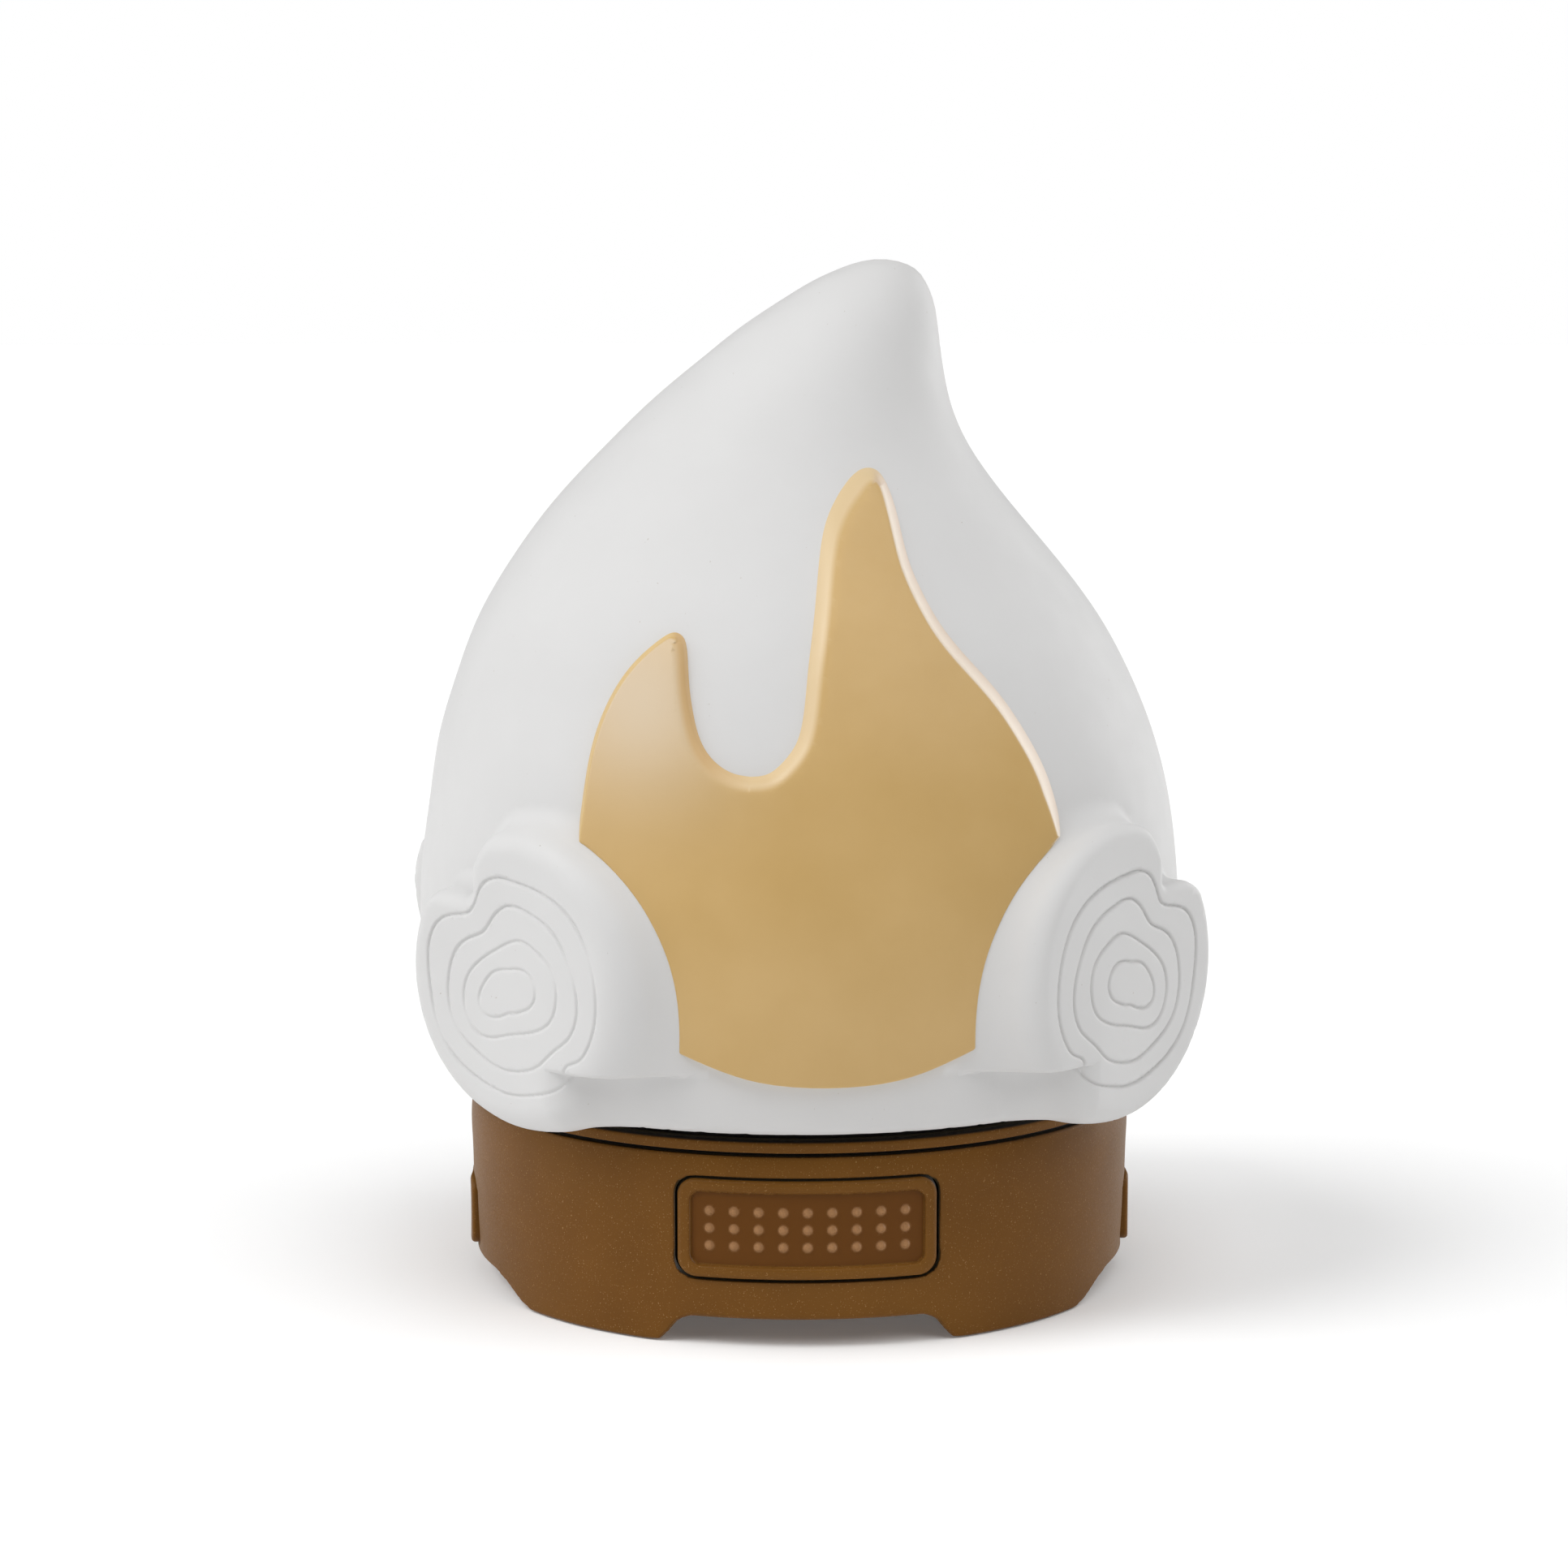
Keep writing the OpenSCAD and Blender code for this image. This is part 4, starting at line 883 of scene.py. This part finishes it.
def make_ring():
    mesh = detailed(top_ring_shape, (0, 49.2, 32.1), (FULL_TURN, 58.2, 37.5), (FULL_TURN / 180, 0.35, 0.3),
                    top_ring_fineness, 1, round_housing, True, 1)
    return make_piece("top_ring_moulding", mesh, 0, {"gap": gap(mesh[0])})


def make_front_button():
    mesh = detailed(front_button_shape, (-24.5, -60, 10), (24.5, -47, 30), 0.5, front_button_fineness, 2)
    p = mesh[0]
    return make_piece("front_touch_panel", mesh, 0, {
        # share of the lighter bump colour: wear and a painted highlight
        "bump": np.clip(1 - bumps(p) / 0.3, 0, 1),
        "panel": (panel_outline(p) < -0.25).astype(float),
        "gap": gap(p) * (front_outline(p) > -0.1)})


def make_side_buttons():
    """The right-hand one and, half a turn round, the left-hand one."""
    mesh = detailed(side_button_shape, (48, -14, 5), (60, 14, 19), 0.6, side_button_fineness, 1)
    p = mesh[0]
    values = {"gap": gap(p) * (np.abs(p[:, 1]) > SIDE_W / 2 - 0.1)}
    return make_piece("right_side_pad", mesh, 0, values), make_piece("left_side_pad", mesh, math.pi, values)


cover_piece, flame_piece, housing_piece = make_cover(), make_flame(), make_housing()
ring_piece, front_piece = make_ring(), make_front_button()
right_piece, left_piece = make_side_buttons()

for piece, body, node, slot in (
    (cover_piece, "ceramic_cover", "cover", "white_ceramic"),
    (flame_piece, "ceramic_cover", "flame_panel", "gold_glaze"),
    (housing_piece, "base", "base_shell", "brown_plastic"),
    (ring_piece, "base", "top_ring", "brown_plastic"),
    (front_piece, "front_button", "front_button", "brown_plastic"),
    (left_piece, "left_button", "left_button", "brown_plastic"),
    (right_piece, "right_button", "right_button", "brown_plastic"),
):
    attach(piece, body)
    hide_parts(node)
    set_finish(piece, slot)
    print(piece.name, len(piece.data.vertices), len(piece.data.polygons))

# ------------------------------------------------------------------ materials


class Nodes:
    """Short way to build a material's nodes."""

    def __init__(self, name):
        self.material = bpy.data.materials.new(name)
        self.material.use_nodes = True
        self.tree = self.material.node_tree
        self.shader = self.tree.nodes["Principled BSDF"]
        self.place = self.add("ShaderNodeTexCoord").outputs["Object"]

    def add(self, kind, **settings):
        node = self.tree.nodes.new(kind)
        for key, value in settings.items():
            if key in node.inputs:
                node.inputs[key].default_value = value
            else:
                setattr(node, key, value)
        return node

    def link(self, output, target):
        self.tree.links.new(output, target)

    def noise(self, per_mm, detail=2.0, roughness=0.5):
        """Noise whose blobs come at this many per millimetre."""
        node = self.add("ShaderNodeTexNoise", Scale=per_mm / MM, Detail=detail, Roughness=roughness)
        self.link(self.place, node.inputs["Vector"])
        return node.outputs["Fac"]

    def ramp(self, source, stops):
        node = self.add("ShaderNodeValToRGB")
        ramp = node.color_ramp
        while len(ramp.elements) < len(stops):
            ramp.elements.new(0.5)
        for element, (at, colour) in zip(ramp.elements, stops):
            element.position = at
            element.color = (*colour, 1) if len(colour) == 3 else colour
        self.link(source, node.inputs["Fac"])
        return node.outputs["Color"]

    def spread(self, source, low, high, new_low, new_high):
        node = self.add("ShaderNodeMapRange")
        for key, value in zip(("From Min", "From Max", "To Min", "To Max"), (low, high, new_low, new_high)):
            node.inputs[key].default_value = value
        self.link(source, node.inputs["Value"])
        return node.outputs["Result"]

    def mix(self, share, a, b):
        node = self.add("ShaderNodeMix", data_type="RGBA")
        for source, key in ((share, 0), (a, 6), (b, 7)):
            if isinstance(source, bpy.types.NodeSocket):
                self.link(source, node.inputs[key])
            else:
                node.inputs[key].default_value = (*source, 1) if key else source
        return node.outputs[2]

    def math(self, operation, a, b):
        node = self.add("ShaderNodeMath", operation=operation)
        for k, source in enumerate((a, b)):
            if isinstance(source, bpy.types.NodeSocket):
                self.link(source, node.inputs[k])
            else:
                node.inputs[k].default_value = source
        return node.outputs[0]

    def bump(self, source, height_mm, strength=1.0, after=None):
        node = self.add("ShaderNodeBump", Strength=strength, Distance=height_mm * MM)
        self.link(source, node.inputs["Height"])
        if after:
            self.link(after, node.inputs["Normal"])
        return node.outputs["Normal"]

    def finish(self, colour, roughness, normal=None, **constants):
        for source, key in ((colour, "Base Color"), (roughness, "Roughness")):
            if isinstance(source, bpy.types.NodeSocket):
                self.link(source, self.shader.inputs[key])
            else:
                self.shader.inputs[key].default_value = (*source, 1) if key == "Base Color" else source
        if normal:
            self.link(normal, self.shader.inputs["Normal"])
        for key, value in constants.items():
            self.shader.inputs[key.replace("_", " ")].default_value = value
        return self.material


def white_ceramic():
    m = Nodes("white_ceramic")
    clouds = m.noise(0.03, 3)
    tone = m.ramp(clouds, [(0.3, (0.608, 0.604, 0.600)), (0.7, (0.636, 0.633, 0.629))])
    specks = m.ramp(m.noise(1.7, 1), [(0.815, (0, 0, 0)), (0.825, (1, 1, 1))])
    tone = m.mix(specks, tone, (0.42, 0.38, 0.34))
    # Painted shade darkens the growth rings on the logs' end faces
    groove_shade_share = m.add("ShaderNodeAttribute", attribute_name="groove").outputs["Fac"]
    tone = m.mix(m.math("MULTIPLY", groove_shade_share, 0.38), tone, (0.33, 0.32, 0.31))
    rough = m.spread(m.noise(0.2, 3), 0.3, 0.7, 0.52, 0.62)
    normal = m.bump(m.noise(0.09, 2), 0.35, 0.5)
    normal = m.bump(m.noise(1.6, 3), 0.02, 0.5, normal)
    return m.finish(tone, rough, normal, Specular_IOR_Level=0.3)


def gold_glaze():
    m = Nodes("gold_glaze")
    clouds = m.noise(0.06, 4)
    tone = m.ramp(clouds, [(0.3, (0.52, 0.335, 0.118)), (0.7, (0.555, 0.365, 0.14))])
    edge, which, haze = (m.add("ShaderNodeAttribute", attribute_name=name).outputs["Fac"]
                         for name in ("edge", "edge_tone", "haze"))
    # Painted highlight: a pale patch on the short tongue
    tone = m.mix(haze, tone, (0.63, 0.53, 0.405))
    # Edge colours: the cream and white stops are painted light on the walls that face left, up and right
    edge_tone = m.ramp(m.spread(which, 0, 4, 0, 1), [
        (0, (0.62, 0.42, 0.15)), (0.25, (0.53, 0.34, 0.14)), (0.5, (0.65, 0.495, 0.285)),
        (0.75, (0.60, 0.47, 0.36)), (1, (0.76, 0.66, 0.54))])
    tone = m.mix(edge, tone, edge_tone)
    rough = m.spread(m.noise(0.5, 3), 0.3, 0.7, 0.42, 0.52)
    normal = m.bump(m.noise(0.1, 2), 0.25, 0.4)
    normal = m.bump(m.noise(2.2, 3), 0.02, 0.5, normal)
    return m.finish(tone, rough, normal, Specular_IOR_Level=0.4, Coat_Weight=0.25, Coat_Roughness=0.28)


def brown_plastic():
    """Brown paint with fine flakes. Where the gap mask is 1 it turns near black: painted shade in the gaps
    and under the cover's rim, and the same near black inside the wall.
    """
    m = Nodes("brown_plastic")
    clouds = m.noise(0.05, 4)
    tone = m.ramp(clouds, [(0.3, (0.133, 0.053, 0.006)), (0.7, (0.163, 0.067, 0.008))])
    flakes = m.ramp(m.noise(4.0, 1), [(0.66, (0, 0, 0)), (0.74, (1, 1, 1))])
    tone = m.mix(flakes, tone, (0.28, 0.145, 0.05))
    bump, panel, painted_gap_shade = (m.add("ShaderNodeAttribute", attribute_name=name).outputs["Fac"]
                             for name in ("bump", "panel", "gap"))
    tone = m.mix(panel, tone, (0.116, 0.040, 0.003))
    # Lighter bumps: worn tops with a painted highlight on them
    tone = m.mix(bump, tone, (0.32, 0.165, 0.07))
    # Painted shade: near black on the gap walls and under the cover's rim
    tone = m.mix(painted_gap_shade, tone, (0.004, 0.002, 0.001))
    rough = m.spread(m.noise(3.0, 2), 0.3, 0.7, 0.40, 0.52)
    normal = m.bump(m.noise(3.0, 2), 0.02, 0.6)
    return m.finish(tone, rough, normal, Specular_IOR_Level=0.13, Sheen_Weight=0.06, Sheen_Roughness=0.3,
                    Sheen_Tint=(1, 0.8, 0.4, 1))


def moulded(name, dark, light, roughness, grain=2.0, depth=0.015, **constants):
    """Plain moulded or machined material with a little cloudiness and a fine grain."""
    m = Nodes(name)
    tone = m.ramp(m.noise(0.15, 3), [(0.3, dark), (0.7, light)])
    rough = m.spread(m.noise(grain * 0.6, 2), 0.3, 0.7, roughness * 0.9, min(1, roughness * 1.15))
    normal = m.bump(m.noise(grain, 3), depth, 0.6)
    return m.finish(tone, rough, normal, **constants)


MATERIALS = {
    "white_ceramic": white_ceramic(),
    "gold_glaze": gold_glaze(),
    "brown_plastic": brown_plastic(),
    "milky_plastic": moulded("milky_plastic", (0.74, 0.76, 0.75), (0.80, 0.81, 0.80), 0.35, 1.2),
    "seal_rubber": moulded("seal_rubber", (0.30, 0.30, 0.31), (0.36, 0.36, 0.37), 0.7, 2.5),
    "foot_rubber": moulded("foot_rubber", (0.020, 0.020, 0.021), (0.035, 0.035, 0.036), 0.75, 2.5, 0.03),
    "screw_steel": moulded("screw_steel", (0.50, 0.50, 0.52), (0.62, 0.62, 0.64), 0.32, 3.0, 0.01,
                           Metallic=1.0),
    "black_plastic": moulded("black_plastic", (0.018, 0.018, 0.019), (0.030, 0.030, 0.031), 0.42, 3.0),
    "circuit_board": moulded("circuit_board", (0.012, 0.120, 0.050), (0.020, 0.165, 0.070), 0.35, 1.0),
    "ferrite": moulded("ferrite", (0.07, 0.07, 0.075), (0.11, 0.11, 0.115), 0.6, 2.0),
    "can_aluminium": moulded("can_aluminium", (0.66, 0.66, 0.67), (0.75, 0.75, 0.76), 0.28, 2.0, 0.005,
                             Metallic=1.0),
    "contact_brass": moulded("contact_brass", (0.62, 0.43, 0.16), (0.72, 0.52, 0.22), 0.25, 2.0, 0.005,
                             Metallic=1.0),
    "disc_metal": moulded("disc_metal", (0.60, 0.58, 0.52), (0.70, 0.68, 0.62), 0.25, 1.5, 0.005,
                          Metallic=1.0),
    "white_plastic": moulded("white_plastic", (0.72, 0.72, 0.70), (0.80, 0.80, 0.78), 0.4, 2.0),
    "lead_insulation": moulded("lead_insulation", (0.03, 0.03, 0.03), (0.05, 0.05, 0.05), 0.5, 3.0),
}

slot_of = {part["node"]: part["material_slot"] for part in frame["record"]["subparts"]}
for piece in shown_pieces():
    name = piece.get("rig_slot")
    if name is None:
        name = slot_of[piece.name]
        piece.data.set_sharp_from_angle(angle=math.radians(32))
        piece.data.polygons.foreach_set("use_smooth", np.ones(len(piece.data.polygons), bool))
    piece.data.materials.clear()
    piece.data.materials.append(MATERIALS[name])
